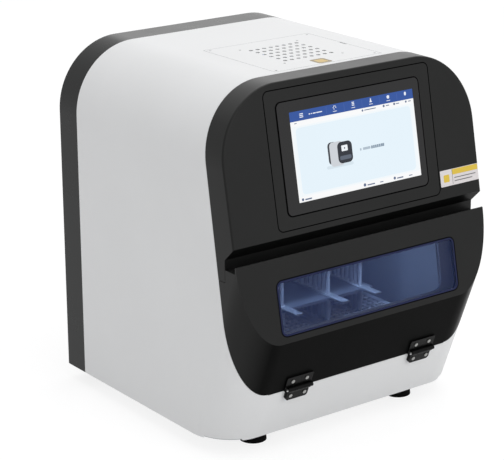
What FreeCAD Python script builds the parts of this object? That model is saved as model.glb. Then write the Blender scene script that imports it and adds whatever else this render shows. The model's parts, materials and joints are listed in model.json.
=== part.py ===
import FreeCAD, Part
import math
import os

os.makedirs("parts", exist_ok=True)

V = FreeCAD.Vector

# All sizes are millimetres. The instrument stands on z = 0, +Z is up, its front faces -Y,
# and the origin is at the middle of its footprint.

# Casing form
width = 400.0
depth = 409.3
body_height = 450.0
foot_height = 20.0
crease_height = 141.4          # crease of the front above the underside of the casing
upper_tilt = 11.2              # degrees, the screen face leans back
lower_tilt = 21.2              # degrees, the lower face runs back to the chin
top_radius = 90.0
front_corner_radius = 55.0
front_edge_radius = 2.5
wall = 3.0

# Clearances
seam_gap = 0.3                 # between neighbouring covers
running_gap = 0.5              # between covers of different bodies
seat_gap = 0.4                 # between an inner piece and the cover it lies along
hole_clearance = 0.1           # round a screw
bearing_clearance = 0.06       # round a turning shaft or screw
over = 1.0                     # how far a cut runs past what it cuts

# Black front band and rear band
band_depth = 33.2              # on the top, from the front edge to the white shell
band_tilt = 9.6                # degrees, slope of the seam to the white shell
rear_band_depth = 42.0
rear_band_wall = 6.0
rear_recess = 6.0
rear_panel_thick = 2.0

# Finger slot between the screen cover and the door, stacked on the door's shelf
door_shelf_height = 237.0      # above the underside of the casing
door_lip_rise = 8.4
door_lip_thick = 1.6
door_step_drop = 16.1
leg_clearance = 0.6            # between the door's step and the cover's leg
slot_back_rise = 12.5
slot_tip_rise = 17.1
slot_wall_depth = 17.7         # from the screen face at the tip to the slot's back wall

# Screen group, in the screen face between the slot and the top edge
surround_width = 262.0
surround_corner = 8.0
surround_low_margin = 7.17
surround_top_margin = 8.79
surround_thick = 1.8
glass_side_border = 18.0
glass_end_border = 16.5
glass_corner = 7.0
glass_thick = 1.4
display_side_border = 14.5
display_end_border = 13.8
lcd_thick = 9.0
lcd_side_rim = 6.0
lcd_end_rim = 5.0
lcd_corner = 2.0
screen_ledge = 4.0

# Door window, in the door's upper face between the crease and the shelf
window_width = 289.0
window_corner = 9.0
window_low_margin = 8.1
window_top_margin = 19.36
window_thick = 3.0
window_flange = 5.0
window_set_back = 0.4
gasket_thick = 1.5
gasket_inset = 1.0
door_strip_height = 25.0       # full wall thickness along the door's bottom edge

# Door back panel and its magnets
door_panel_thick = 2.5
door_panel_low = 96.0          # above the underside of the casing
inner_window_margin = 4.0
magnet_x = 160.0
magnet_size = (16.0, 6.0, 8.0)
magnet_drop = 6.0
magnet_gap = 0.2

# Hinges on the lower face, measured up the lower face from the chin's bottom edge
hinge_x = 101.4
hinge_pin_up = 73.4
hinge_pin_out = 4.0
pin_radius = 2.0
pin_clearance = 0.05
pin_stand_out = 0.6
knuckle_radius = 3.6
knuckle_clearance = 0.4
knuckle_side_gap = 0.3
door_knuckle_width = 15.0
end_knuckle_radius = 3.0
end_knuckle_length = 4.2
end_knuckle_floor = 1.0
leaf_thick = 2.4
leaf_low_margin = 1.0          # door leaf above the door's bottom edge
door_leaf_width = 41.4
door_leaf_top = 92.3
base_leaf_width = 34.0
base_leaf_bottom = 57.0
base_leaf_thick = 5.0
door_leaf_corner = 2.0
base_leaf_corner = 4.0
hinge_screw_spacing = 22.0
door_screw_up = 85.5
base_screw_up = 64.3
hinge_screw_radius = 2.6
hinge_screw_head = 0.9

# Feet and base plate
foot_side_inset = 78.0
front_foot_inset = 91.65
rear_foot_inset = 54.65
foot_radius = 17.5
foot_top_radius = 15.5
foot_screw_radius = 3.0
foot_screw_recess = 8.0
foot_screw_head = 3.0
base_thick = 3.0

# Service panel on the top, with the exhaust vent
panel_x = 7.5
panel_front_margin = 8.45      # behind the black front band
panel_size = (170.0, 150.0, 3.0)
panel_thick = 1.5
panel_ledge = 8.0
vent_shift = (-0.2, 2.0)       # vent centre from the panel's centre
vent_pitch_x = 10.6
vent_pitch_y = 14.24
vent_columns = 8
vent_rows = 6
vent_radius = 2.0
fan_screw_spacing = 93.0
fan_screw_length = 8.0
panel_screw_inset = 6.0
small_screw_radius = 1.6
screw_sink = 0.1
notch_depth = 3.0
notch_width = 14.0

# Fans
exhaust_fan_side = 103.0
exhaust_fan_bore = 47.0
exhaust_fan_hub = 17.9
fan_thick = 25.0
fan_corner = 5.0
fan_rib = 3.0
fan_strut_width = 5.0
fan_pin_radius = 2.0
fan_pin_height = 12.0
fan_cup_overhang = 0.8
rotor_lift = 1.0
rotor_recess = 2.0
blade_count = 7
blade_thick = 1.6
blade_angle = 40.0
blade_tip_gap = 1.5
blade_end_room = 8.0
rear_fan_inset = 105.0         # from the casing's left side
rear_fan_drop = 140.0          # below the casing's top
rear_fan_side = 80.0
rear_fan_bore = 38.0
rear_fan_hub = 14.4
rear_fan_hole_spacing = 71.5
guard_wire = 1.8
guard_stand = 0.5
guard_rings = 4
guard_eye_radius = 3.4

# Rear panel fittings
inlet_inset = 80.0             # from the casing's right side
inlet_up = 42.0                # centre above the underside of the casing
inlet_w = 27.0
inlet_h = 47.0
inlet_depth = 22.0
inlet_flange = 3.0
inlet_flange_thick = 2.0
inlet_cup = (22.0, 15.0, 14.0)
inlet_cup_low = 20.0
inlet_pin = (2.0, 4.0)
inlet_pin_front = 3.0
inlet_pin_places = ((-7.0, -2.0), (0.0, 2.0), (7.0, -2.0))
rocker_w = 20.0
rocker_h = 16.0
rocker_up = 11.0
rocker_room = 9.0
rocker_depth = 6.0
rocker_rise = 1.2
rocker_angle = 12.0
ports_x = 40.0
ports_up = 40.0
ports_w = 62.0
ports_h = 18.0
ports_depth = 14.0
ports_stand_out = 0.6
socket_depth = 12.0
sockets = ((-19.0, 14.0, 12.0), (1.0, 14.0, 6.0), (20.0, 12.0, 11.0))
louvre_count = 8
louvre_inset = 115.0
louvre_drop = 180.0
louvre_w = 90.0
louvre_h = 4.0
louvre_pitch = 11.0
rear_screw_inset = 10.0
screw_head = 1.2

# Well plates, to the standard footprint and pitch
plate_length = 127.76
plate_width = 85.48
plate_height = 41.0
plate_x = 65.0
plate_y = -62.0
plate_bottom = 80.0
plate_skirt = 8.0
plate_step = 1.5
pitch = 9.0
plate_columns = 12
plate_rows = 8
well_side = 8.2
well_floor = 3.0
cradle_wall = 3.0
cradle_lip = 5.0

# Chamber
chamber_half = 152.0
liner_thick = 2.0
liner_setback = 3.5
deck_top = 76.0
deck_thick = 3.0
deck_foot = 12.0
deck_foot_inset = 84.65          # from the front of the casing
deck_foot_rear = 50.0
chamber_top = 262.0
frame_thick = 3.0
frame_low = 78.0               # above the underside of the casing
frame_opening_half = 147.0
frame_opening_bottom = 92.0
frame_opening_top = 232.0

# Tip combs and magnet rods
comb_columns = (0, 6)
sleeve_radius = 3.5
sleeve_wall = 0.7
sleeve_tip = 123.0
sleeve_tip_radius = 1.2
sleeve_cone = 3.0
comb_flange_bottom = 158.0
comb_flange_thick = 2.0
comb_flange_width = 13.0
comb_end = 2.0
tab_length = 31.0
tab_width = 11.0
rod_radius = 2.4
rod_tip = 157.0
rod_plate_bottom = 205.0
rod_plate_thick = 6.0
rod_socket = 3.0

# Travels of the two lifting stages
sleeve_travel = 32.0
rod_travel = 30.0

# Gantry, stacked forwards from the back plate
gantry_x = -22.0
backplate_front = 70.0
backplate_thick = 3.0
backplate_drop = 15.0
backplate_half = 150.0
rail_thick = 8.0
rail_height = 12.0
rail_end = 6.0
lower_rail_z = 242.0
upper_rail_drop = 24.0
belt_drop = 64.0
block_depth = 14.0
block_x = 30.0
block_half = 15.0
block_height = 26.0
block_back_gap = 2.0
carriage_thick = 6.0
carriage_half = 48.0
carriage_shelf = 4.0
carriage_shelf_reach = 15.0
carriage_foot = 8.0
foot_below_nut = 14.0
clamp_half = 8.0
clamp_low = 3.0
clamp_height = 9.0
lift_rail_thick = 8.0
lift_rail_top_gap = 6.0
lift_rail_half = 6.0
upright_gap = 8.0
upright_thick = 6.0
upright_left = 52.0
upright_right = 44.0
rib_thick = 3.5
rib_depth = 21.0
rib_height = 36.0
slider_half = 14.0
sleeve_slider_low = 236.0
sleeve_slider_height = 30.0
nut_inset = 4.0
nut_radius = 7.0
nut_web_half = 6.0
screw_radius = 4.0
screw_foot = 4.0
shaft_room = 1.0
rod_rail_thick = 7.5
rod_rail_low_gap = 14.0
rod_rail_top_gap = 10.0
bracket_gap = 8.5
bracket_thick = 6.0
bracket_drop = 46.0
bracket_left = 48.0
bracket_right = 20.0
rod_slider_drop = 4.0
rod_slider_height = 26.0
rod_nut_inset = 2.0
rod_screw_end = 10.0
rod_shelf_half = 15.0
rod_shelf_thick = 4.0
rod_motor_drop = 34.0
lift_screw_side = 40.0         # right of the gantry's centre
lift_screw_forward = 7.5
rod_screw_side = 36.0          # left of the gantry's centre
rod_screw_back = 4.0
motor_side = 42.0
motor_length = 40.0
motor_corner = 4.0
motor_boss = 6.0
shaft_engage = 5.0
small_motor_side = 28.0
small_motor_length = 32.0
mechanism_headroom = 3.5
holder_thick = 4.0
holder_end_left = 13.5
holder_end_right = 14.5
holder_front = 4.0
holder_slot_gap = 0.5
belt_y0 = 58.6
belt_thick = 1.5
belt_width = 6.0
belt_bite = 0.3
pulley_radius = 6.366
pulley_span = 125.0
pulley_flange = 1.5
pulley_flange_thick = 1.0
pulley_shaft_radius = 2.5
pulley_shaft_engage = 6.0
motor_shaft_room = 0.5

# Lamp
lamp_behind_seam = 29.2175
lamp_z = 252.0
lamp_radius = 6.0
lamp_half = 110.0
lamp_cap = 8.0
lamp_cap_rim = 1.0
lamp_cap_gap = 0.2
holder_arm = 8.0
holder_arm_reach = 9.0

# Electronics behind the chamber
electronics_gap = 11.0         # behind the back plate
electronics_rear_gap = 2.0
electronics_side_gap = 32.0
supply_length = 115.0
supply_height = 42.0
supply_slot_count = 9
supply_slot_first = 10.0
supply_slot_pitch = 10.0
supply_slot = (4.0, 2.0, 26.0)
supply_slot_up = 9.0
board_supply_gap = 30.0
board_thick = 1.6
board_post_height = 8.0
board_post_radius = 3.0
board_post_inset = 5.0
chip_first = 25.0
chip_pitch = 45.0
chip_size = (22.0, 22.0, 2.4)
chip_inset = 21.0
plug_first = 15.0
plug_pitch = 26.0
plug_size = (18.0, 10.0, 10.4)
plug_inset = 5.65

# Derived places of the casing
front_y = -depth / 2.0
rear_y = depth / 2.0
base_z = foot_height
top_z = foot_height + body_height
crease_z = base_z + crease_height
tan_upper = math.tan(math.radians(upper_tilt))
tan_lower = math.tan(math.radians(lower_tilt))
tan_band = math.tan(math.radians(band_tilt))
cos_upper = math.cos(math.radians(upper_tilt))
cos_lower = math.cos(math.radians(lower_tilt))
cos_band = math.cos(math.radians(band_tilt))
chin_y = front_y + crease_height * tan_lower
top_front_y = front_y + (body_height - crease_height) * tan_upper
seam_top_y = top_front_y + band_depth
band_front_y = rear_y - rear_band_depth
foot_x = width / 2.0 - foot_side_inset
front_foot_y = front_y + front_foot_inset
rear_foot_y = rear_y - rear_foot_inset
deck_foot_front = front_y + deck_foot_inset
far = 2.0 * (width + depth + body_height)

# Derived places of the slot and of what lies in the screen face
shelf_z = base_z + door_shelf_height
lip_z = shelf_z + door_lip_rise
step_z = shelf_z - door_step_drop
leg_bottom_z = step_z + leg_clearance
slot_inner_z = shelf_z + slot_back_rise
slot_tip_z = slot_inner_z + slot_tip_rise
surround_low = (slot_tip_z - crease_z) / cos_upper + surround_low_margin
surround_high = (top_z - crease_z) / cos_upper - surround_top_margin
screen_centre = (surround_low + surround_high) / 2
surround_size = (surround_width, surround_high - surround_low, surround_corner)
glass_size = (surround_size[0] - 2 * glass_side_border, surround_size[1] - 2 * glass_end_border, glass_corner)
display_size = (glass_size[0] - 2 * display_side_border, glass_size[1] - 2 * display_end_border)
window_high = (shelf_z - crease_z) / cos_upper - window_top_margin
window_centre = (window_low_margin + window_high) / 2
window_size = (window_width, window_high - window_low_margin, window_corner)

# Derived places on the top and rear panels
panel_centre = (panel_x, seam_top_y + panel_front_margin + panel_size[1] / 2)
vent_centre = (panel_centre[0] + vent_shift[0], panel_centre[1] + vent_shift[1])
rear_fan_x = -width / 2 + rear_fan_inset
rear_fan_z = top_z - rear_fan_drop
inlet_x = width / 2 - inlet_inset
inlet_z = base_z + inlet_up
rocker_z = inlet_z + rocker_up
ports_z = base_z + ports_up
louvre_x = width / 2 - louvre_inset
louvre_z = top_z - louvre_drop

# Derived places of the mechanism
lift_motor_bottom = top_z - panel_thick - fan_thick - mechanism_headroom - motor_length
backplate_top = lift_motor_bottom + motor_length - backplate_drop
upper_rail_z = lift_motor_bottom - upper_rail_drop
belt_z = upper_rail_z - belt_drop
rod_motor_bottom = lift_motor_bottom - rod_motor_drop
bearing_front = backplate_front - block_depth
lift_rail_back = bearing_front - carriage_thick
lift_rail_front = lift_rail_back - lift_rail_thick
wall_back = lift_rail_front - upright_gap
wall_front = wall_back - upright_thick
rod_rail_front = wall_front - rod_rail_thick
bracket_back = rod_rail_front - bracket_gap
lift_screw_x = gantry_x + lift_screw_side
lift_screw_y = lift_rail_back - lift_screw_forward
rod_screw_x = gantry_x - rod_screw_side
rod_screw_y = bracket_back + rod_screw_back
sleeve_slider_high = sleeve_slider_low + sleeve_slider_height
carriage_low = sleeve_slider_low + nut_inset - sleeve_travel - foot_below_nut
bracket_top = rod_motor_bottom - bracket_drop
rod_slider_high = bracket_top - rod_slider_drop
rod_slider_low = rod_slider_high - rod_slider_height
rod_nut_low = rod_slider_low + rod_nut_inset


def seam_y(z):
    """Depth of the seam between the black front and the white shell at height z."""
    return seam_top_y - (top_z - z) * tan_band


def face_y(z):
    """Depth of the screen face at height z."""
    return front_y + (z - crease_z) * tan_upper


def block(x0, x1, y0, y1, z0, z1):
    return Part.makeBox(x1 - x0, y1 - y0, z1 - z0, V(x0, y0, z0))


def prism_x(points, x0, x1):
    """Polygon of (y, z) points drawn out along X."""
    corners = [V(x0, y, z) for y, z in points]
    wire = Part.makePolygon(corners + corners[:1])
    return Part.Face(wire).extrude(V(x1 - x0, 0, 0))


def rounded_pad(size_x, size_y, radius, z0, z1, x=0.0, y=0.0):
    """Plate with round corners, centred on (x, y)."""
    pad = block(x - size_x / 2, x + size_x / 2, y - size_y / 2, y + size_y / 2, z0, z1)
    edges = [e for e in pad.Edges if abs(e.Vertexes[0].Z - e.Vertexes[1].Z) > 1e-6]
    return pad.makeFillet(radius, edges)


def rod_z(x, y, z0, z1, radius):
    return Part.makeCylinder(radius, z1 - z0, V(x, y, z0))


def rod_x(x0, x1, y, z, radius):
    return Part.makeCylinder(radius, x1 - x0, V(x0, y, z), V(1, 0, 0))


def rod_y(x, y0, y1, z, radius):
    return Part.makeCylinder(radius, y1 - y0, V(x, y0, z), V(0, 1, 0))


def union(shapes):
    result = shapes[0]
    if len(shapes) > 1:
        result = result.multiFuse(shapes[1:])
    return result.removeSplitter()


def on_screen_face(shape):
    """Moves a shape drawn flat onto the screen face: Y runs up it and Z stands out of it."""
    moved = shape.copy()
    turn = FreeCAD.Rotation(V(1, 0, 0), 90.0 - upper_tilt)
    moved.Placement = FreeCAD.Placement(V(0, front_y, crease_z), turn).multiply(moved.Placement)
    return moved


def on_lower_face(shape):
    """The same for the lower face, from the chin's bottom edge."""
    moved = shape.copy()
    turn = FreeCAD.Rotation(V(1, 0, 0), 90.0 + lower_tilt)
    moved.Placement = FreeCAD.Placement(V(0, chin_y, base_z), turn).multiply(moved.Placement)
    return moved


def save(name, shapes):
    """Writes one node. A list becomes a group of separate solids."""
    if isinstance(shapes, list):
        shape = Part.makeCompound(shapes)
    else:
        shape = shapes
    solids = shape.Solids
    if len(solids) == 1:
        shape = solids[0]
    shape.exportStep("parts/" + name + ".step")
    print(name, len(solids), "solids", round(shape.Volume / 1000.0, 1), "cm3", shape.isValid())


# Casing form
def side_profile(inset):
    points = [
        (chin_y, base_z),
        (front_y, crease_z),
        (top_front_y, top_z),
        (rear_y, top_z),
        (rear_y, base_z),
    ]
    corners = [V(-far, y, z) for y, z in points]
    face = Part.Face(Part.makePolygon(corners + corners[:1]))
    if inset:
        face = face.makeOffset2D(-inset, 2)
    return face.extrude(V(2 * far, 0, 0))


def rounded_top(inset):
    half = width / 2 - inset
    radius = top_radius - inset
    top = top_z - inset
    turn = radius * (1 - math.sqrt(0.5))
    a = V(-half, -far, base_z - far)
    b = V(-half, -far, top - radius)
    b_mid = V(-half + turn, -far, top - turn)
    c = V(-half + radius, -far, top)
    d = V(half - radius, -far, top)
    d_mid = V(half - turn, -far, top - turn)
    e = V(half, -far, top - radius)
    f = V(half, -far, base_z - far)
    edges = [
        Part.LineSegment(a, b).toShape(),
        Part.Arc(b, b_mid, c).toShape(),
        Part.LineSegment(c, d).toShape(),
        Part.Arc(d, d_mid, e).toShape(),
        Part.LineSegment(e, f).toShape(),
        Part.LineSegment(f, a).toShape(),
    ]
    return Part.Face(Part.Wire(edges)).extrude(V(0, 2 * far, 0))


def rounded_front(inset):
    """Prism along the lower face, with the round front corners of the casing."""
    half = width / 2 - inset
    radius = front_corner_radius - inset
    turn = radius * (1 - math.sqrt(0.5))
    a = V(-half, -far, -far)
    b = V(-half, -far, -inset - radius)
    b_mid = V(-half + turn, -far, -inset - turn)
    c = V(-half + radius, -far, -inset)
    d = V(half - radius, -far, -inset)
    d_mid = V(half - turn, -far, -inset - turn)
    e = V(half, -far, -inset - radius)
    f = V(half, -far, -far)
    edges = [
        Part.LineSegment(a, b).toShape(),
        Part.Arc(b, b_mid, c).toShape(),
        Part.LineSegment(c, d).toShape(),
        Part.Arc(d, d_mid, e).toShape(),
        Part.LineSegment(e, f).toShape(),
        Part.LineSegment(f, a).toShape(),
    ]
    flat = Part.Face(Part.Wire(edges)).extrude(V(0, 2 * far, 0))
    return on_lower_face(flat)


def casing(inset):
    return side_profile(inset).common(rounded_top(inset)).common(rounded_front(inset))


def behind_seam(gap):
    """Everything behind the front seam, gap millimetres further back."""
    low = base_z - far
    high = top_z + far
    points = [
        (seam_y(low) + gap, low),
        (seam_y(high) + gap, high),
        (far * 3, high),
        (far * 3, low),
    ]
    return prism_x(points, -far, far)


def before_seam(gap):
    low = base_z - far
    high = top_z + far
    points = [
        (seam_y(low) - gap, low),
        (seam_y(high) - gap, high),
        (-far * 3, high),
        (-far * 3, low),
    ]
    return prism_x(points, -far, far)


outer = casing(0)
inner = casing(wall)
print("casing", round(outer.Volume / 1e6, 2), "litres", outer.isValid(), inner.isValid())


# Slot between the screen cover and the door, as (y, z) points
slot_tip_y = face_y(slot_tip_z)
slot_back_y = slot_tip_y + slot_wall_depth
leg_bottom_y = seam_y(leg_bottom_z)


def cover_profile():
    """Side view of the screen cover, from the top down to its leg behind the slot."""
    high = top_z + far
    return [
        (face_y(high) - far, high),
        (slot_tip_y - far, slot_tip_z),
        (slot_tip_y, slot_tip_z),
        (slot_back_y, slot_inner_z),
        (slot_back_y, leg_bottom_z),
        (leg_bottom_y, leg_bottom_z),
        (seam_y(high), high),
    ]


def door_profile():
    """Side view of the door, from its lip down to the chin."""
    low = base_z
    return [
        (face_y(lip_z) - far, lip_z),
        (face_y(lip_z) + door_lip_thick, lip_z),
        (face_y(lip_z) + door_lip_thick, shelf_z),
        (slot_back_y - running_gap, shelf_z),
        (slot_back_y - running_gap, step_z),
        (seam_y(step_z) - running_gap, step_z),
        (seam_y(low) - running_gap, low),
        (seam_y(low) - running_gap - far, low),
    ]


def inset_profile(points, amount):
    corners = [V(-far, y, z) for y, z in points]
    face = Part.Face(Part.makePolygon(corners + corners[:1]))
    return face.makeOffset2D(-amount, 2).extrude(V(2 * far, 0, 0))


def door_edge():
    """Distance up the lower face at which the seam meets it."""
    gap_at_base = seam_y(base_z) - chin_y
    return -gap_at_base / (tan_band + tan_lower) / cos_lower


door_bottom_up = door_edge()


def lower_strip(gap, depth_in):
    """The door's bottom edge at full wall thickness, between the round corners."""
    half = width / 2 - front_corner_radius + gap
    low = door_bottom_up - gap
    return on_lower_face(block(-half, half, low, door_bottom_up + door_strip_height, -depth_in, 0.0))


def upright_edges(shape):
    return [e for e in shape.Edges if abs(e.Vertexes[0].Z - e.Vertexes[1].Z) > 1e-6]


def make_outer_shell():
    tube = outer.cut(inner)
    shell = tube.common(behind_seam(0.0))
    shell = shell.cut(block(-far, far, band_front_y, far, -far, far))
    shell = shell.cut(lower_strip(running_gap, far / 2))
    floor_cut = block(-width / 2 + wall, width / 2 - wall, -far, far, base_z - over, base_z + wall)
    shell = shell.cut(floor_cut.common(inner_column()))
    cx, cy = panel_centre
    sx, sy, r = panel_size
    recess = rounded_pad(sx + 2 * seam_gap, sy + 2 * seam_gap, r, top_z - panel_thick, top_z + over, cx, cy)
    ledge = 2 * panel_ledge
    through = rounded_pad(sx - ledge, sy - ledge, r, top_z - 2 * wall, top_z + over, cx, cy)
    return shell.cut(recess).cut(through).removeSplitter()


def inner_column():
    """The inside of the casing's footprint, drawn down through the floor."""
    chin_inner = chin_y + wall / cos_lower
    return block(-width / 2 + wall, width / 2 - wall, chin_inner, band_front_y + over,
                 base_z - 2 * over, base_z + 2 * wall)


def make_base_plate():
    chin_inner = chin_y + wall / cos_lower + seam_gap
    half = width / 2 - wall - seam_gap
    radius = front_corner_radius - wall
    plate = block(-half, half, chin_inner, band_front_y, base_z, base_z + base_thick)
    corners = [e for e in upright_edges(plate) if e.Vertexes[0].Y < 0]
    plate = plate.makeFillet(radius, corners)
    plate = plate.common(rounded_front(wall + seam_gap))
    holes = [rod_z(x, y, 0, far, foot_screw_radius + hole_clearance) for x, y in foot_places()]
    return plate.cut(Part.makeCompound(holes))


def foot_places():
    return [(x, y) for x in (-foot_x, foot_x) for y in (front_foot_y, rear_foot_y)]


def make_feet():
    feet = []
    for x, y in foot_places():
        foot = Part.makeCone(foot_radius, foot_top_radius, foot_height, V(x, y, 0))
        foot = foot.cut(rod_z(x, y, -over, foot_screw_recess, 2 * foot_screw_radius))
        feet.append(foot.cut(rod_z(x, y, 0, foot_height + over, foot_screw_radius + hole_clearance)))
    return feet


def make_foot_screws():
    screws = []
    for x, y in foot_places():
        shank = rod_z(x, y, foot_screw_recess, base_z + base_thick, foot_screw_radius)
        head = rod_z(x, y, foot_screw_recess - foot_screw_head, foot_screw_recess,
                     2 * foot_screw_radius - seam_gap)
        screws.append(union([shank, head]))
    return screws


def make_rear_bezel():
    ring = outer.cut(casing(rear_band_wall))
    ring = ring.common(block(-far, far, band_front_y + seam_gap, far, -far, far))
    hole = rounded_top(rear_band_wall).common(block(-far, far, 0, far, base_z + rear_band_wall, far))
    behind = block(-far, far, rear_y - 2 * rear_band_wall, far, -far, far)
    return ring.cut(hole.common(behind)).removeSplitter()


rear_face = rear_y - rear_recess
panel_back = rear_face - rear_panel_thick


def opening_y(x, z, size_x, size_z):
    """Square hole through the rear panel."""
    return block(x - size_x / 2, x + size_x / 2, 0, far, z - size_z / 2, z + size_z / 2)


def make_rear_panel():
    sheet = rounded_top(rear_band_wall + seam_gap)
    sheet = sheet.common(block(-far, far, panel_back, rear_face, base_z + rear_band_wall + seam_gap, far))
    cuts = [
        rod_y(rear_fan_x, 0, far, rear_fan_z, rear_fan_bore),
        opening_y(inlet_x, inlet_z, inlet_w, inlet_h),
        opening_y(ports_x, ports_z, ports_w, ports_h),
    ]
    for x, z in rear_screw_places() + fan_screw_places():
        cuts.append(rod_y(x, 0, far, z, small_screw_radius + hole_clearance))
    for k in range(louvre_count):
        cuts.append(opening_y(louvre_x, louvre_z + k * louvre_pitch + louvre_h / 2, louvre_w, louvre_h))
    return sheet.cut(Part.makeCompound(cuts))


def rear_screw_places():
    x = width / 2 - rear_band_wall - rear_screw_inset
    low = base_z + rear_band_wall + rear_screw_inset
    high = top_z - top_radius
    return [(-x, low), (x, low), (-x, high), (x, high)]


def fan_screw_places():
    half = rear_fan_hole_spacing / 2
    return [(rear_fan_x + sx * half, rear_fan_z + sz * half) for sx in (-1, 1) for sz in (-1, 1)]


def make_rear_screws():
    screws = []
    for x, z in rear_screw_places():
        shank = rod_y(x, panel_back, rear_face, z, small_screw_radius)
        head = rod_y(x, rear_face, rear_face + screw_head, z, 2 * small_screw_radius)
        screws.append(union([shank, head]))
    return screws


def flat_ring(radius, y0, y1, x, z):
    return rod_y(x, y0, y1, z, radius + guard_wire / 2).cut(rod_y(x, y0, y1, z, radius - guard_wire / 2))


def make_fan_guard():
    y0 = rear_face + guard_stand
    y1 = y0 + guard_wire
    parts = []
    for k in range(guard_rings):
        radius = rear_fan_bore * (k + 1) / guard_rings - guard_wire
        parts.append(flat_ring(radius, y0, y1, rear_fan_x, rear_fan_z))
    reach = rear_fan_hole_spacing / 2 * math.sqrt(2)
    for angle in (45.0, 135.0):
        spoke = block(-reach, reach, y0, y1, -guard_wire / 2, guard_wire / 2)
        spoke.rotate(V(0, 0, 0), V(0, 1, 0), angle)
        spoke.translate(V(rear_fan_x, 0, rear_fan_z))
        parts.append(spoke)
    for x, z in fan_screw_places():
        parts.append(rod_y(x, rear_face, y1, z, guard_eye_radius))
    guard = union(parts)
    holes = [rod_y(x, 0, far, z, small_screw_radius + hole_clearance) for x, z in fan_screw_places()]
    return guard.cut(Part.makeCompound(holes))


def fan_frame(side, bore, hub, hole_spacing):
    """Fan frame lying flat, its top at z = 0, with three struts to the motor cup at the bottom."""
    low = -fan_thick
    frame = rounded_pad(side, side, fan_corner, low, 0.0)
    frame = frame.cut(rod_z(0, 0, low - over, over, bore))
    half = hole_spacing / 2
    holes = [rod_z(sx * half, sy * half, low - over, over, small_screw_radius + 2 * hole_clearance)
             for sx in (-1, 1) for sy in (-1, 1)]
    frame = frame.cut(Part.makeCompound(holes))
    parts = [frame, rod_z(0, 0, low, low + fan_rib, hub + fan_cup_overhang),
             rod_z(0, 0, low, low + fan_pin_height, fan_pin_radius)]
    for k in range(3):
        strut = block(hub / 2, bore + over, -fan_strut_width / 2, fan_strut_width / 2, low, low + fan_rib)
        strut.rotate(V(0, 0, 0), V(0, 0, 1), 120.0 * k + 30.0)
        parts.append(strut)
    return union(parts)


def fan_rotor(bore, hub):
    """Hub with blades, running on the frame's pin."""
    low = -fan_thick
    bottom = low + fan_rib + rotor_lift
    core = rod_z(0, 0, bottom, -rotor_recess, hub)
    core = core.cut(rod_z(0, 0, bottom - over, low + fan_pin_height + seam_gap,
                          fan_pin_radius + bearing_clearance))
    parts = [core]
    half_height = (fan_thick - blade_end_room) / 2
    for k in range(blade_count):
        blade = block(hub - fan_rib, bore - blade_tip_gap, -blade_thick / 2, blade_thick / 2,
                      -half_height, half_height)
        blade.rotate(V(0, 0, 0), V(1, 0, 0), blade_angle)
        blade.translate(V(0, 0, low / 2))
        blade.rotate(V(0, 0, 0), V(0, 0, 1), 360.0 / blade_count * k)
        parts.append(blade)
    return union(parts)


def at_exhaust(shape):
    moved = shape.copy()
    moved.translate(V(vent_centre[0], vent_centre[1], top_z - panel_thick))
    return moved


def at_rear(shape):
    """Turns a fan so that its top faces the rear panel."""
    moved = shape.copy()
    moved.rotate(V(0, 0, 0), V(1, 0, 0), -90.0)
    moved.translate(V(rear_fan_x, panel_back, rear_fan_z))
    return moved


def vent_places():
    places = []
    x0 = vent_centre[0] - vent_pitch_x * (vent_columns - 1) / 2
    y0 = vent_centre[1] - vent_pitch_y * (vent_rows - 1) / 2
    for row in range(vent_rows):
        for column in range(vent_columns):
            places.append((x0 + column * vent_pitch_x, y0 + row * vent_pitch_y))
    return places


def fan_fixing_places():
    half = fan_screw_spacing / 2
    return [(vent_centre[0] + sx * half, vent_centre[1] + sy * half) for sx in (-1, 1) for sy in (-1, 1)]


def panel_screw_places():
    cx, cy = panel_centre
    hx = panel_size[0] / 2 - panel_screw_inset
    hy = panel_size[1] / 2 - panel_screw_inset
    return [(cx + sx * hx, cy + sy * hy) for sx in (-1, 1) for sy in (-1, 1)]


def make_service_panel():
    cx, cy = panel_centre
    sx, sy, r = panel_size
    plate = rounded_pad(sx, sy, r, top_z - panel_thick, top_z, cx, cy)
    cuts = [rod_z(x, y, 0, far, vent_radius) for x, y in vent_places()]
    for x, y in fan_fixing_places() + panel_screw_places():
        cuts.append(rod_z(x, y, 0, far, small_screw_radius + hole_clearance))
    edge = cx + sx / 2
    cuts.append(block(edge - notch_depth, edge + over, cy - notch_width / 2, cy + notch_width / 2, 0, far))
    return plate.cut(Part.makeCompound(cuts))


def make_service_screws():
    screws = []
    low = top_z - panel_thick
    for x, y in fan_fixing_places():
        screws.append(rod_z(x, y, low - fan_screw_length, top_z - screw_sink, small_screw_radius))
    for x, y in panel_screw_places():
        screws.append(rod_z(x, y, low, top_z - screw_sink, small_screw_radius))
    return screws


def screen_pad(size, low, high, grow=0.0):
    sx, sy, r = size
    pad = rounded_pad(sx + 2 * grow, sy + 2 * grow, max(r + grow, 0.5), low, high, 0.0, screen_centre)
    return on_screen_face(pad)


def make_front_bezel():
    body = outer.common(before_seam(seam_gap))
    body = body.common(prism_x(cover_profile(), -far, far))
    edges = face_edges(body)
    if edges:
        body = body.makeFillet(front_edge_radius, edges)
    hollow = inset_profile(cover_profile_open(), wall).common(inner)
    body = body.cut(hollow)
    shelf = screen_pad(surround_size, -4 * wall, -surround_thick, -screen_ledge)
    recess = screen_pad(surround_size, -surround_thick, over, seam_gap)
    return body.cut(shelf).cut(recess).removeSplitter()


def cover_profile_open():
    """The cover's side view with its back moved away, so that the hollow opens backwards."""
    points = cover_profile()
    high = top_z + far
    return points[:5] + [(leg_bottom_y, leg_bottom_z), (far, leg_bottom_z), (far, high)]


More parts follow.
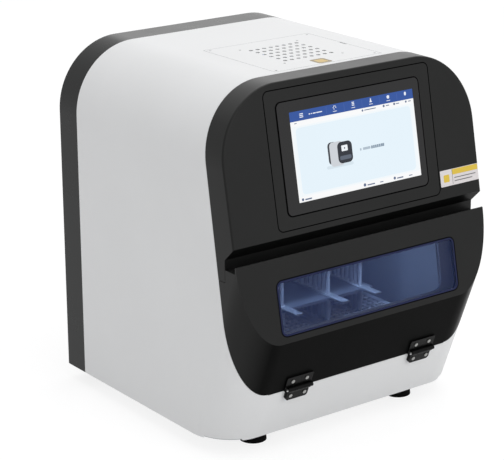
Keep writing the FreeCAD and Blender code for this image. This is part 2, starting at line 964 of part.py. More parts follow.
def face_edges(body):
    """Long outer edges of the screen face: its two sides, round corners and top."""
    chosen = []
    for edge in body.Edges:
        on_face = True
        for value in (0.1, 0.5, 0.9):
            first, last = edge.ParameterRange
            p = edge.valueAt(first + (last - first) * value)
            if abs((p.y - face_y(p.z)) * cos_upper) > 0.01:
                on_face = False
            if abs(p.z - slot_tip_z) < 0.5 and edge.Length > width / 2:
                on_face = False
        if on_face:
            chosen.append(edge)
    return chosen


def make_screen_surround():
    pad = screen_pad(surround_size, -surround_thick, 0.0)
    return pad.cut(screen_pad(glass_size, -2 * surround_thick, over, seam_gap))


def make_touch_glass():
    return screen_pad(glass_size, -surround_thick, -surround_thick + glass_thick)


def make_lcd():
    sx, sy = display_size
    size = (sx + 2 * lcd_side_rim, sy + 2 * lcd_end_rim, lcd_corner)
    return screen_pad(size, -surround_thick - lcd_thick, -surround_thick)


# Door
def window_pad(low, high, grow):
    sx, sy, r = window_size
    pad = rounded_pad(sx + 2 * grow, sy + 2 * grow, r + grow, low, high, 0.0, window_centre)
    return on_screen_face(pad)


def make_door_shell():
    body = outer.common(before_seam(running_gap)).common(prism_x(door_profile(), -far, far))
    body = body.cut(on_lower_face(block(-far, far, -far, door_bottom_up, -far, far)))
    hollow = inset_profile(door_profile_open(), wall).common(inner)
    body = body.cut(hollow)
    body = body.fuse(lower_strip(0.0, wall))
    return body.cut(window_pad(-2 * wall, over, 0.0)).removeSplitter()


def door_profile_open():
    """The door's side view with its back moved away, so that the hollow opens backwards."""
    points = door_profile()
    low = base_z - far
    return points[:5] + [(far, step_z), (far, low), (-far, low)]


def door_back_zone(low, high):
    """Layer parallel to the seam, from low to high millimetres in front of it."""
    z0 = base_z - far
    z1 = top_z + far
    return prism_x([(seam_y(z0) - high, z0), (seam_y(z1) - high, z1),
                    (seam_y(z1) - low, z1), (seam_y(z0) - low, z0)], -far, far)


def make_door_panel():
    low = running_gap + seat_gap
    layer = door_back_zone(low, low + door_panel_thick)
    panel = casing(wall + seam_gap).common(layer)
    panel = panel.common(block(-far, far, -far, far, base_z + door_panel_low, step_z - wall - seam_gap))
    return panel.cut(window_pad(-far / 4, far / 4, inner_window_margin)).removeSplitter()


def make_door_window():
    plug = window_pad(-wall, -window_set_back, -seam_gap)
    flange = window_pad(-wall - window_thick, -wall, window_flange)
    return union([plug, flange])


def make_window_gasket():
    low = -wall - window_thick - gasket_thick
    ring = window_pad(low, -wall - window_thick, window_flange)
    return ring.cut(window_pad(low - over, 0.0, -gasket_inset))


def make_door_magnets():
    sx, sy, sz = magnet_size
    z = step_z - wall - sz - magnet_drop
    y1 = seam_y(z) - running_gap - seat_gap - door_panel_thick
    return [block(x - sx / 2, x + sx / 2, y1 - sy, y1 - magnet_gap, z, z + sz) for x in (-magnet_x, magnet_x)]


# Hinges
def hinge_spots():
    return (-hinge_x, hinge_x)


def hinge_rod(x0, x1, radius):
    return on_lower_face(rod_x(x0, x1, hinge_pin_up, hinge_pin_out, radius))


base_half = base_leaf_width / 2
door_knuckle_half = door_knuckle_width / 2
pin_right = base_half + knuckle_side_gap + end_knuckle_length - end_knuckle_floor


def screw_pair(x, up, low, high, radius):
    half = hinge_screw_spacing / 2
    return [on_lower_face(rod_z(x + side * half, up, low, high, radius)) for side in (-1, 1)]


def leaf_holes(x, up):
    return Part.makeCompound(screw_pair(x, up, -2 * wall, far / 10, small_screw_radius + hole_clearance))


def make_door_leaves():
    """Leaves on the door, each with its middle knuckle and a closed one at the right-hand end."""
    leaves = []
    room = hinge_pin_up + knuckle_radius + knuckle_clearance
    for x in hinge_spots():
        half = door_leaf_width / 2
        plate = block(x - half, x + half, door_bottom_up + leaf_low_margin, door_leaf_top, 0.0, leaf_thick)
        upper = [e for e in upright_edges(plate) if e.Vertexes[0].Y > room]
        plate = plate.makeFillet(door_leaf_corner, upper)
        for x0, x1 in ((-base_half - knuckle_side_gap, -door_knuckle_half),
                       (door_knuckle_half, base_half + knuckle_side_gap)):
            plate = plate.cut(block(x + x0, x + x1, 0.0, room, -over, leaf_thick + over))
        end = x + base_half + knuckle_side_gap
        middle = hinge_rod(x - door_knuckle_half, x + door_knuckle_half, knuckle_radius)
        closed = hinge_rod(end, end + end_knuckle_length, end_knuckle_radius)
        body = union([on_lower_face(plate), middle, closed])
        body = body.cut(hinge_rod(x - far / 10, x + pin_right + hole_clearance, pin_radius + pin_clearance))
        leaves.append(body.cut(leaf_holes(x, door_screw_up)))
    return leaves


def make_base_leaves():
    """Leaves on the chin, each with two knuckles."""
    leaves = []
    inside = door_knuckle_half + knuckle_side_gap
    for x in hinge_spots():
        plate = block(x - base_half, x + base_half, base_leaf_bottom, door_bottom_up - running_gap,
                      0.0, base_leaf_thick)
        lower = [e for e in upright_edges(plate) if e.Vertexes[0].Y < base_leaf_bottom + over]
        plate = plate.makeFillet(base_leaf_corner, lower)
        plate = plate.cut(rod_x(x - inside, x + inside, hinge_pin_up, hinge_pin_out,
                                knuckle_radius + knuckle_clearance))
        knuckles = [hinge_rod(x - base_half, x - inside, knuckle_radius),
                    hinge_rod(x + inside, x + base_half, knuckle_radius)]
        body = union([on_lower_face(plate)] + knuckles)
        body = body.cut(hinge_rod(x - far / 10, x + far / 10, pin_radius + pin_clearance))
        leaves.append(body.cut(leaf_holes(x, base_screw_up)))
    return leaves


def make_hinge_pins():
    return [hinge_rod(x - base_half - pin_stand_out, x + pin_right, pin_radius) for x in hinge_spots()]


def make_hinge_screws(up, leaf_top):
    screws = []
    for x in hinge_spots():
        heads = screw_pair(x, up, leaf_top, leaf_top + hinge_screw_head, hinge_screw_radius)
        shanks = screw_pair(x, up, 0.0, leaf_top, small_screw_radius)
        for head, shank in zip(heads, shanks):
            screws.append(union([head, shank]))
    return screws


def drilled(shape, up):
    """Clears the screw shanks of both hinges out of a cover."""
    holes = []
    for x in hinge_spots():
        holes += screw_pair(x, up, -2 * wall, over, small_screw_radius + hole_clearance)
    return shape.cut(Part.makeCompound(holes))


# Chamber
def make_opening_frame():
    layer = door_back_zone(-frame_thick - seat_gap, -seat_gap)
    plate = casing(wall + seam_gap).common(layer)
    plate = plate.common(block(-far, far, -far, far, base_z + frame_low, chamber_top))
    hole = block(-frame_opening_half, frame_opening_half, -far, far, frame_opening_bottom, frame_opening_top)
    return plate.cut(hole).removeSplitter()


def make_chamber_liner():
    """Deck on four feet, with two side walls."""
    back = backplate_front - seat_gap
    half = chamber_half
    outside = half + liner_thick
    low = deck_top - deck_thick
    setback = frame_thick + liner_setback
    profile = [(seam_y(low) + setback, low), (seam_y(chamber_top) + setback, chamber_top),
               (back, chamber_top), (back, low)]
    walls = [prism_x(profile, -outside, -half), prism_x(profile, half, outside)]
    deck = block(-outside, outside, seam_y(low) + setback, back, low, deck_top)
    reach = deck_foot / 2
    inset = half - 2 * liner_thick
    feet = [block(x - reach, x + reach, y - reach, y + reach, base_z + base_thick, low)
            for x in (-inset, inset) for y in (deck_foot_front, deck_foot_rear)]
    return union(walls + [deck]).common(casing(wall + seam_gap)).fuse(feet).removeSplitter()


def plate_spots():
    return (-plate_x, plate_x)


def well_x(centre, column):
    return centre + (column - (plate_columns - 1) / 2) * pitch


def well_y(row):
    return plate_y + (row - (plate_rows - 1) / 2) * pitch


def plate_block(x, grow, low, high):
    half_x = plate_length / 2 + grow
    half_y = plate_width / 2 + grow
    return block(x - half_x, x + half_x, plate_y - half_y, plate_y + half_y, low, high)


def make_heater_blocks():
    blocks = []
    half_gap = plate_x - plate_length / 2
    for x in plate_spots():
        base = plate_block(x, cradle_wall + seam_gap, deck_top, plate_bottom + cradle_lip)
        room = plate_block(x, seam_gap, plate_bottom, plate_bottom + cradle_lip + over)
        if x < 0:
            beyond = block(-half_gap, far, -far, far, 0, far)
        else:
            beyond = block(-far, half_gap, -far, far, 0, far)
        blocks.append(base.cut(room).cut(beyond))
    return blocks


def make_well_plate(x):
    low = plate_bottom
    high = plate_bottom + plate_height
    skirt = plate_block(x, 0.0, low, low + plate_skirt)
    body = plate_block(x, -plate_step, low + plate_skirt, high)
    wells = []
    half = well_side / 2
    for column in range(plate_columns):
        for row in range(plate_rows):
            cx = well_x(x, column)
            cy = well_y(row)
            wells.append(block(cx - half, cx + half, cy - half, cy + half, low + well_floor, high + over))
    return union([skirt, body]).cut(Part.makeCompound(wells))


def comb_x():
    return [well_x(x, column) for x in plate_spots() for column in comb_columns]


comb_front_y = well_y(0) - pitch / 2
comb_back_y = well_y(plate_rows - 1) + pitch / 2


def make_tip_combs():
    """Combs of eight sleeves under a flange, with a level tab at the front."""
    combs = []
    top = comb_flange_bottom + comb_flange_thick
    cone_top = sleeve_tip + sleeve_cone
    for x in comb_x():
        half = comb_flange_width / 2
        y0 = comb_front_y - comb_end
        parts = [block(x - half, x + half, y0, comb_back_y + comb_end, comb_flange_bottom, top)]
        bores = []
        for row in range(plate_rows):
            y = well_y(row)
            parts.append(rod_z(x, y, cone_top, comb_flange_bottom + sleeve_wall, sleeve_radius))
            parts.append(Part.makeCone(sleeve_tip_radius, sleeve_radius, sleeve_cone, V(x, y, sleeve_tip)))
            bores.append(rod_z(x, y, cone_top + hole_clearance, top + over, sleeve_radius - sleeve_wall))
        w = tab_width / 2
        tab = block(x - w, x + w, y0 - tab_length, y0 + over, comb_flange_bottom, top)
        combs.append(union(parts + [tab]).cut(Part.makeCompound(bores)))
    return combs


holder_x0 = well_x(-plate_x, comb_columns[0]) - holder_end_left
holder_x1 = well_x(plate_x, comb_columns[-1]) + holder_end_right


def screw_bore(x, y, room):
    return rod_z(x, y, 0, far, screw_radius + room)


def rail_slider(rail_front, low, height, front, back):
    """Slider block with the channel in which it rides on an upright rail."""
    body = block(gantry_x - slider_half, gantry_x + slider_half, front, back, low, low + height)
    half = lift_rail_half + seat_gap
    channel = block(gantry_x - half, gantry_x + half, rail_front - seat_gap, back + over,
                    low - over, low + height + over)
    return body.cut(channel)


def make_sleeve_holder():
    """Comb tray, with the upright that slides on the lift rail and carries the rod drive."""
    low = comb_flange_bottom - holder_thick
    top = comb_flange_bottom
    front = comb_front_y - holder_front
    tray = block(holder_x0, holder_x1, front, wall_back, low, top)
    reach = sleeve_radius + holder_slot_gap
    slots = [block(x - reach, x + reach, comb_front_y - holder_slot_gap, comb_back_y + holder_slot_gap,
                   low - over, top + over) for x in comb_x()]
    tray = tray.cut(Part.makeCompound(slots))
    left = gantry_x - upright_left
    right = gantry_x + upright_right
    upright = block(left, right, wall_front, wall_back, low, rod_motor_bottom)
    ribs = [block(x, x + rib_thick, wall_front - rib_depth, wall_front, top, top + rib_height)
            for x in (left, right - nut_inset)]
    slider = rail_slider(lift_rail_front, sleeve_slider_low, sleeve_slider_height, wall_back,
                         lift_rail_back - seat_gap)
    nut_low = sleeve_slider_low + nut_inset
    nut_high = sleeve_slider_high - nut_inset
    nut = rod_z(lift_screw_x, lift_screw_y, nut_low, nut_high, nut_radius)
    web = block(lift_screw_x - nut_web_half, lift_screw_x + nut_web_half, wall_back - over, lift_screw_y,
                nut_low, nut_high)
    nut = union([nut, web]).cut(screw_bore(lift_screw_x, lift_screw_y, bearing_clearance))
    shelf = block(rod_screw_x - rod_shelf_half, rod_screw_x + rod_shelf_half, rod_screw_y - rod_shelf_half,
                  wall_back, rod_motor_bottom - rod_shelf_thick, rod_motor_bottom)
    shelf = shelf.cut(screw_bore(rod_screw_x, rod_screw_y, shaft_room))
    return union([tray, upright, slider, nut, shelf] + ribs)


def make_rod_holder():
    """Rod plate with its bracket, which slides on the rod rail."""
    low = rod_plate_bottom
    bracket_front = bracket_back - bracket_thick
    plate = block(holder_x0, holder_x1, comb_front_y - holder_front, bracket_front,
                  low, low + rod_plate_thick)
    bracket = block(gantry_x - bracket_left, gantry_x + bracket_right, bracket_front, bracket_back,
                    low, bracket_top)
    slider = rail_slider(rod_rail_front, rod_slider_low, rod_slider_height, bracket_back,
                         wall_front - seat_gap)
    nut = rod_z(rod_screw_x, rod_screw_y, rod_nut_low, rod_slider_high - rod_nut_inset, nut_radius)
    body = union([plate, bracket, slider, nut])
    body = body.cut(screw_bore(rod_screw_x, rod_screw_y, bearing_clearance))
    holes = [rod_z(x, well_y(row), low - over, low + rod_socket, rod_radius)
             for x in comb_x() for row in range(plate_rows)]
    return body.cut(Part.makeCompound(holes))


def make_magnet_rods():
    return [rod_z(x, well_y(row), rod_tip, rod_plate_bottom + rod_socket, rod_radius)
            for x in comb_x() for row in range(plate_rows)]


# Gantry
def make_rails():
    half = backplate_half - rail_end
    return [block(-half, half, backplate_front - rail_thick, backplate_front,
                  z - rail_height / 2, z + rail_height / 2) for z in (lower_rail_z, upper_rail_z)]


def make_bearing_blocks():
    blocks = []
    for z in (lower_rail_z, upper_rail_z):
        for side in (-1, 1):
            x = gantry_x + side * block_x
            body = block(x - block_half, x + block_half, bearing_front, backplate_front - block_back_gap,
                         z - block_height / 2, z + block_height / 2)
            half_room = rail_height / 2 + seat_gap
            room = block(x - block_half - over, x + block_half + over,
                         backplate_front - rail_thick - seat_gap, backplate_front,
                         z - half_room, z + half_room)
            blocks.append(body.cut(room))
    return blocks


def make_carriage():
    """Plate on the bearing blocks, with the motor's shelf, the screw's foot and the belt clamp."""
    shelf_low = lift_motor_bottom - carriage_shelf
    foot_top = carriage_low + carriage_foot
    half_motor = motor_side / 2
    plate = block(gantry_x - carriage_half, gantry_x + carriage_half, lift_rail_back, bearing_front,
                  carriage_low, shelf_low)
    shelf = block(lift_screw_x - half_motor, gantry_x + carriage_half + carriage_shelf_reach,
                  lift_screw_y - half_motor, bearing_front, shelf_low, lift_motor_bottom)
    clamp_z = belt_z + pulley_radius - clamp_low
    clamp = block(gantry_x - clamp_half, gantry_x + clamp_half, bearing_front, belt_y0 - seat_gap,
                  clamp_z, clamp_z + clamp_height)
    foot = block(lift_screw_x - 2 * screw_radius, lift_screw_x + 2 * screw_radius,
                 lift_screw_y - 2 * screw_radius, lift_rail_back, carriage_low, foot_top)
    body = union([plate, shelf, clamp, foot])
    body = body.cut(rod_z(lift_screw_x, lift_screw_y, shelf_low - over, lift_motor_bottom + over,
                          screw_radius + shaft_room))
    return body.cut(rod_z(lift_screw_x, lift_screw_y, carriage_low + screw_foot - over, foot_top + over,
                          screw_radius + bearing_clearance))


def rail_between(front, back, low, high):
    return block(gantry_x - lift_rail_half, gantry_x + lift_rail_half, front, back, low, high)


def make_lift_rail():
    low = sleeve_slider_low - sleeve_travel + over
    return rail_between(lift_rail_front, lift_rail_back, low,
                        lift_motor_bottom - carriage_shelf - lift_rail_top_gap)


def make_rod_rail():
    return rail_between(rod_rail_front, wall_front, rod_slider_low - rod_travel - rod_rail_low_gap,
                        rod_motor_bottom - rod_rail_top_gap)


def motor_z(x, y, z0, side, length):
    """Square motor standing on its shaft side, hollowed where the shaft enters."""
    body = rounded_pad(side, side, motor_corner, z0, z0 + length, x, y)
    return body.cut(rod_z(x, y, z0 - over, z0 + motor_boss, screw_radius + motor_shaft_room))


def make_x_motor():
    low = backplate_front + backplate_thick
    half = motor_side / 2
    body = block(-pulley_span - half, -pulley_span + half, low, low + motor_length,
                 belt_z - half, belt_z + half)
    return body.cut(rod_y(-pulley_span, 0, low + motor_boss + over, belt_z,
                          pulley_shaft_radius + motor_shaft_room))


def make_backplate():
    plate = block(-backplate_half, backplate_half, backplate_front, backplate_front + backplate_thick,
                  base_z + base_thick, backplate_top)
    plate = plate.cut(rod_y(-pulley_span, 0, far, belt_z, pulley_shaft_radius + pulley_flange))
    pin = rod_y(pulley_span, belt_y0 - over, backplate_front, belt_z, pulley_shaft_radius)
    return union([plate, pin])


def pulley_body(x):
    y0 = belt_y0 - belt_bite
    y1 = belt_y0 + belt_width + belt_bite
    flange = pulley_radius + pulley_flange
    return union([rod_y(x, y0, y1, belt_z, pulley_radius - 2 * belt_bite),
                  rod_y(x, y0 - pulley_flange_thick, y0, belt_z, flange),
                  rod_y(x, y1, y1 + pulley_flange_thick, belt_z, flange)])


def make_drive_pulley():
    high = backplate_front + backplate_thick + pulley_shaft_engage
    shaft = rod_y(-pulley_span, belt_y0, high, belt_z, pulley_shaft_radius)
    return union([pulley_body(-pulley_span), shaft])


def make_idler_pulley():
    bore = rod_y(pulley_span, 0, far, belt_z, pulley_shaft_radius + bearing_clearance)
    return pulley_body(pulley_span).cut(bore)


def belt_loop(radius):
    ends = [rod_y(x, belt_y0, belt_y0 + belt_width, belt_z, radius) for x in (-pulley_span, pulley_span)]
    middle = block(-pulley_span, pulley_span, belt_y0, belt_y0 + belt_width, belt_z - radius, belt_z + radius)
    return union(ends + [middle])


def make_belt():
    inside = pulley_radius - belt_bite
    return belt_loop(inside + belt_thick).cut(belt_loop(inside))


# Lamp
lamp_y = seam_y(lamp_z) + lamp_behind_seam


def make_lamp():
    tube = rod_x(-lamp_half, lamp_half, lamp_y, lamp_z, lamp_radius)
    caps = [rod_x(x, x + lamp_cap, lamp_y, lamp_z, lamp_radius + lamp_cap_rim)
            for x in (-lamp_half, lamp_half - lamp_cap)]
    return union([tube] + caps)


def make_lamp_holders():
    holders = []
    half = holder_arm / 2
    start = seam_y(lamp_z + holder_arm) + (frame_thick + seat_gap) / cos_band + seam_gap
    for side in (-1, 1):
        x = side * (lamp_half + half + seam_gap)
        arm = block(x - half, x + half, start, lamp_y + holder_arm_reach,
                    lamp_z - holder_arm, lamp_z + holder_arm)
        cap_room = rod_x(-lamp_half - lamp_cap_gap, lamp_half + lamp_cap_gap, lamp_y, lamp_z,
                         lamp_radius + lamp_cap_rim + lamp_cap_gap)
        holders.append(arm.cut(cap_room))
    return holders


# Electronics behind the chamber
floor_z = base_z + base_thick
electronics_front = backplate_front + backplate_thick + electronics_gap
electronics_rear = band_front_y - electronics_rear_gap
electronics_side = width / 2 - wall - electronics_side_gap


def make_power_supply():
    left = electronics_side - supply_length
    box = block(left, electronics_side, electronics_front, electronics_rear, floor_z, floor_z + supply_height)
    slot_w, slot_deep, slot_high = supply_slot
    slots = []
    for k in range(supply_slot_count):
        x = left + supply_slot_first + k * supply_slot_pitch
        z = floor_z + supply_slot_up
        slots.append(block(x, x + slot_w, electronics_front - over, electronics_front + slot_deep,
                           z, z + slot_high))
    return box.cut(Part.makeCompound(slots))


def make_main_board():
    z = floor_z + board_post_height
    top = z + board_thick
    left = -electronics_side
    right = electronics_side - supply_length - board_supply_gap
    chip_count = int((right - left - chip_first) // chip_pitch)
    plug_count = int((right - left - plug_first) // plug_pitch)
    board = block(left, right, electronics_front, electronics_rear, z, top)
    parts = [board]
    for x in (left + board_post_inset, right - board_post_inset):
        for y in (electronics_front + board_post_inset, electronics_rear - board_post_inset):
            parts.append(rod_z(x, y, floor_z, z, board_post_radius))
    for k in range(chip_count):
        x = left + chip_first + k * chip_pitch
        y = electronics_front + chip_inset
        parts.append(block(x, x + chip_size[0], y, y + chip_size[1], top, top + chip_size[2]))
    for k in range(plug_count):
        x = left + plug_first + k * plug_pitch
        y = electronics_rear - plug_inset
        parts.append(block(x, x + plug_size[0], y - plug_size[1], y, top, top + plug_size[2]))
    return union(parts)


# Inlet, switch and sockets in the rear panel
def make_power_inlet():
    """Appliance inlet with the switch housing above it, flush in the rear panel."""
    w = inlet_w / 2 - seam_gap
    h = inlet_h / 2 - seam_gap
    body = block(inlet_x - w, inlet_x + w, rear_face - inlet_depth, rear_face, inlet_z - h, inlet_z + h)
    flange = block(inlet_x - w - inlet_flange, inlet_x + w + inlet_flange, rear_face,
                   rear_face + inlet_flange_thick, inlet_z - h - inlet_flange, inlet_z + h + inlet_flange)
    cup_w, cup_h, cup_deep = inlet_cup
    cup_low = inlet_z - inlet_cup_low
    cup = block(inlet_x - cup_w / 2, inlet_x + cup_w / 2, rear_face - cup_deep, far, cup_low, cup_low + cup_h)
    room_w = rocker_w / 2 + seat_gap
    room_h = rocker_h / 2 + seat_gap
    room = block(inlet_x - room_w, inlet_x + room_w, rear_face - rocker_room, far,
                 rocker_z - room_h, rocker_z + room_h)
    body = union([body, flange]).cut(cup).cut(room)
    parts = [body]
    cup_mid = cup_low + cup_h / 2
    pin_w, pin_h = inlet_pin
    for dx, dz in inlet_pin_places:
        x = inlet_x + dx
        z = cup_mid + dz
        parts.append(block(x - pin_w / 2, x + pin_w / 2, rear_face - cup_deep - over,
                           rear_face - inlet_pin_front, z - pin_h / 2, z + pin_h / 2))
    return union(parts)


def make_rocker():
    """Rocker whose two faces meet in a shallow V, shown in its off position."""
    half = rocker_h / 2 - 2 * seam_gap
    rise = math.tan(math.radians(rocker_angle)) * half
    y = rear_face
    points = [
        (y - rocker_depth, rocker_z - half + rocker_rise),
        (y - seam_gap, rocker_z - half),
        (y + rocker_rise, rocker_z),
        (y + rocker_rise + rise, rocker_z + half),
        (y - rocker_depth, rocker_z + half - rocker_rise),
    ]
    return prism_x(points, inlet_x - rocker_w / 2 + seam_gap, inlet_x + rocker_w / 2 - seam_gap)


def make_ports():
    """Three sockets for data cables in one black surround."""
    w = ports_w / 2 - seam_gap
    h = ports_h / 2 - seam_gap
    body = block(ports_x - w, ports_x + w, rear_face - ports_depth, rear_face + ports_stand_out,
                 ports_z - h, ports_z + h)
    holes = []
    for dx, size_x, size_z in sockets:
        x = ports_x + dx
        holes.append(block(x - size_x / 2, x + size_x / 2, rear_face - socket_depth, far,
                           ports_z - size_z / 2, ports_z + size_z / 2))
    return body.cut(Part.makeCompound(holes))


save("outer_shell", drilled(make_outer_shell(), base_screw_up))
save("base_plate", make_base_plate())
save("rubber_feet", make_feet())
save("foot_screws", make_foot_screws())
save("rear_bezel", make_rear_bezel())
save("rear_panel", make_rear_panel())
save("rear_panel_screws", make_rear_screws())
save("fan_guard", make_fan_guard())
save("rear_fan_frame", at_rear(fan_frame(rear_fan_side, rear_fan_bore, rear_fan_hub, rear_fan_hole_spacing)))
save("rear_fan_rotor", at_rear(fan_rotor(rear_fan_bore, rear_fan_hub)))
save("exhaust_fan_frame",
     at_exhaust(fan_frame(exhaust_fan_side, exhaust_fan_bore, exhaust_fan_hub, fan_screw_spacing)))
save("exhaust_fan_rotor", at_exhaust(fan_rotor(exhaust_fan_bore, exhaust_fan_hub)))
save("service_panel", make_service_panel())
save("service_panel_screws", make_service_screws())
save("front_bezel", make_front_bezel())
save("screen_surround", make_screen_surround())
save("touch_glass", make_touch_glass())
save("lcd_module", make_lcd())
save("door_shell", drilled(make_door_shell(), door_screw_up))
save("door_inner_panel", make_door_panel())
save("door_window", make_door_window())
save("window_gasket", make_window_gasket())
save("hinge_door_leaves", make_door_leaves())
save("hinge_base_leaves", make_base_leaves())
save("hinge_pins", make_hinge_pins())
save("hinge_door_screws", make_hinge_screws(door_screw_up, leaf_thick))
save("hinge_base_screws", make_hinge_screws(base_screw_up, base_leaf_thick))
save("door_magnets", make_door_magnets())
save("opening_frame", make_opening_frame())
save("chamber_liner", make_chamber_liner())
save("heater_blocks", make_heater_blocks())
save("left_well_plate", make_well_plate(-plate_x))
save("right_well_plate", make_well_plate(plate_x))
save("tip_combs", make_tip_combs())
save("sleeve_holder", make_sleeve_holder())
save("rod_holder", make_rod_holder())
save("magnet_rods", make_magnet_rods())
save("mechanism_backplate", make_backplate())
save("x_rails", make_rails())
save("x_bearing_blocks", make_bearing_blocks())
save("x_carriage", make_carriage())
save("lift_rail", make_lift_rail())
save("rod_rail", make_rod_rail())
save("lift_motor", motor_z(lift_screw_x, lift_screw_y, lift_motor_bottom, motor_side, motor_length))
save("lift_screw", rod_z(lift_screw_x, lift_screw_y, carriage_low + screw_foot,
                         lift_motor_bottom + shaft_engage, screw_radius))
save("rod_motor", motor_z(rod_screw_x, rod_screw_y, rod_motor_bottom, small_motor_side, small_motor_length))
save("rod_screw", rod_z(rod_screw_x, rod_screw_y, rod_nut_low - rod_travel - rod_screw_end,
                        rod_motor_bottom + shaft_engage, screw_radius))
save("x_motor", make_x_motor())
save("x_drive_pulley", make_drive_pulley())
save("x_idler_pulley", make_idler_pulley())
save("x_belt", make_belt())
save("uv_lamp", make_lamp())
save("lamp_holders", make_lamp_holders())
save("power_supply", make_power_supply())
save("main_board", make_main_board())
save("power_inlet", make_power_inlet())
save("power_rocker", make_rocker())
save("data_ports", make_ports())
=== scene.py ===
import json
import math

import bmesh
import bpy
from mathutils import Matrix, Vector


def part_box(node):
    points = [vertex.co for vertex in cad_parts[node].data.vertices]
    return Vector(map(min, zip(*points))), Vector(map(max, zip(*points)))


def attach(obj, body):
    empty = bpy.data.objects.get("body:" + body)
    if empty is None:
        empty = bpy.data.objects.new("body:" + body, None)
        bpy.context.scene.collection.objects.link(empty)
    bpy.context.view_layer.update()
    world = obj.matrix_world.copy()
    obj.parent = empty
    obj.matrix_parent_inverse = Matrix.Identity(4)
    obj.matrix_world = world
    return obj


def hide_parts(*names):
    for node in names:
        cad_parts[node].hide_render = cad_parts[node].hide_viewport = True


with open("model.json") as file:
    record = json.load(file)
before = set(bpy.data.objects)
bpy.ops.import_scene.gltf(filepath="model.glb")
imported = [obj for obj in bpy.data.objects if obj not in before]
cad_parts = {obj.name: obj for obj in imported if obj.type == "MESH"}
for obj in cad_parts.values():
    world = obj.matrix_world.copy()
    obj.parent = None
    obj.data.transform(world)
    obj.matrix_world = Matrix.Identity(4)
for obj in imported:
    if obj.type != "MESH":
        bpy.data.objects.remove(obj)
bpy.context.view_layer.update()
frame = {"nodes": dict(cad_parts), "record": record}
nodes = frame["nodes"]

# Sizes that the looks share with the construction, in metres and degrees
FRONT_Y = -0.20465
CREASE_Z = 0.1614
TOP_Z = 0.470
UPPER_TILT = 11.2
SCREEN_CENTRE = 0.2203
SURROUND_WIDTH = 0.262
SURROUND_HEIGHT = 0.171
SURROUND_CORNER = 0.008
SURROUND_DEPTH = 0.0018
GLASS_WIDTH = 0.226
GLASS_HEIGHT = 0.138
GLASS_CORNER = 0.007
DISPLAY_WIDTH = 0.197
DISPLAY_HEIGHT = 0.1104
DISPLAY_SHIFT = 0.004
WINDOW_CENTRE = 0.0431
WINDOW_WIDTH = 0.289
WINDOW_HEIGHT = 0.070
WINDOW_CORNER = 0.009
VENT_SHIFT = (-0.0002, 0.0020)
VENT_PITCH = (0.0106, 0.01424)
VENT_COUNT = (8, 6)
VENT_HOLE = 0.0019
WELL_PITCH = 0.009
WELL_COLUMNS = 12
WELL_ROWS = 8
PLATE_CENTRES = (-0.065, 0.065)
PLATE_Y = -0.062
COMB_TOP = 0.160
COMB_COLUMNS = (-5.5, 0.5)

# Camera, solved from the photograph
CAMERA_PLACE = Vector((-1.4555, -1.8881, 1.0046))
CAMERA_YAW = -36.91
CAMERA_PITCH = 18.09
CAMERA_ROLL = -0.24
CAMERA_LENS = 135.49
CAMERA_SENSOR = 36.0
CAMERA_NEAR = 0.05
CAMERA_FAR = 50.0


def make_camera():
    """Camera of the photograph."""
    yaw = math.radians(CAMERA_YAW)
    pitch = math.radians(CAMERA_PITCH)
    roll = math.radians(CAMERA_ROLL)
    level = math.cos(pitch)
    look = Vector((-math.sin(yaw) * level, math.cos(yaw) * level, -math.sin(pitch)))
    right = look.cross(Vector((0, 0, 1))).normalized()
    up = right.cross(look)
    right_rolled = right * math.cos(roll) + up * math.sin(roll)
    up_rolled = up * math.cos(roll) - right * math.sin(roll)
    data = bpy.data.cameras.new("camera")
    data.lens = CAMERA_LENS
    data.sensor_width = CAMERA_SENSOR
    data.clip_start = CAMERA_NEAR
    data.clip_end = CAMERA_FAR
    camera = bpy.data.objects.new("camera", data)
    rotation = Matrix((right_rolled, up_rolled, -look)).transposed().to_4x4()
    camera.matrix_world = Matrix.Translation(CAMERA_PLACE) @ rotation
    bpy.context.scene.collection.objects.link(camera)
    bpy.context.scene.camera = camera


# Node helpers
def new_material(name):
    """A material with its node tree and its shader."""
    material = bpy.data.materials.new(name)
    material.use_nodes = True
    tree = material.node_tree
    return material, tree, tree.nodes["Principled BSDF"]


def node(tree, kind, **inputs):
    """A new node with some inputs set; an underscore stands for the space in an input's name."""
    made = tree.nodes.new(kind)
    for key, value in inputs.items():
        made.inputs[key.replace("_", " ")].default_value = value
    return made


def rgba(colour):
    """A colour with full cover."""
    return (colour[0], colour[1], colour[2], 1.0)


def scaled(colour, share):
    """A colour made darker or lighter."""
    return rgba([min(c * share, 1.0) for c in colour])


def object_space(tree):
    """Coordinates in the piece's own space."""
    return tree.nodes.new("ShaderNodeTexCoord").outputs["Object"]


def normal_parts(tree):
    """The surface normal in the piece's own space, split into X, Y and Z."""
    coordinate = tree.nodes.new("ShaderNodeTexCoord")
    parts = tree.nodes.new("ShaderNodeSeparateXYZ")
    tree.links.new(coordinate.outputs["Normal"], parts.inputs["Vector"])
    return parts.outputs


def noise_of(tree, scale, detail, roughness):
    """Noise laid out in the piece's own space."""
    noise = node(tree, "ShaderNodeTexNoise", Scale=scale, Detail=detail, Roughness=roughness)
    tree.links.new(object_space(tree), noise.inputs["Vector"])
    return noise.outputs["Fac"]


def span_of(tree, value, start, end, low, high):
    """A value that goes from low to high as another goes from start to end."""
    span = node(tree, "ShaderNodeMapRange", From_Min=start, From_Max=end, To_Min=low, To_Max=high)
    tree.links.new(value, span.inputs["Value"])
    return span.outputs["Result"]


def reckon(tree, operation, *values):
    """One Math node on numbers and on other nodes' values."""
    maths = tree.nodes.new("ShaderNodeMath")
    maths.operation = operation
    for k, value in enumerate(values):
        if isinstance(value, float):
            maths.inputs[k].default_value = value
        else:
            tree.links.new(value, maths.inputs[k])
    return maths.outputs["Value"]


def colour_mix(tree, blend):
    """A Mix node for colours."""
    mix = tree.nodes.new("ShaderNodeMix")
    mix.data_type = "RGBA"
    mix.blend_type = blend
    return mix


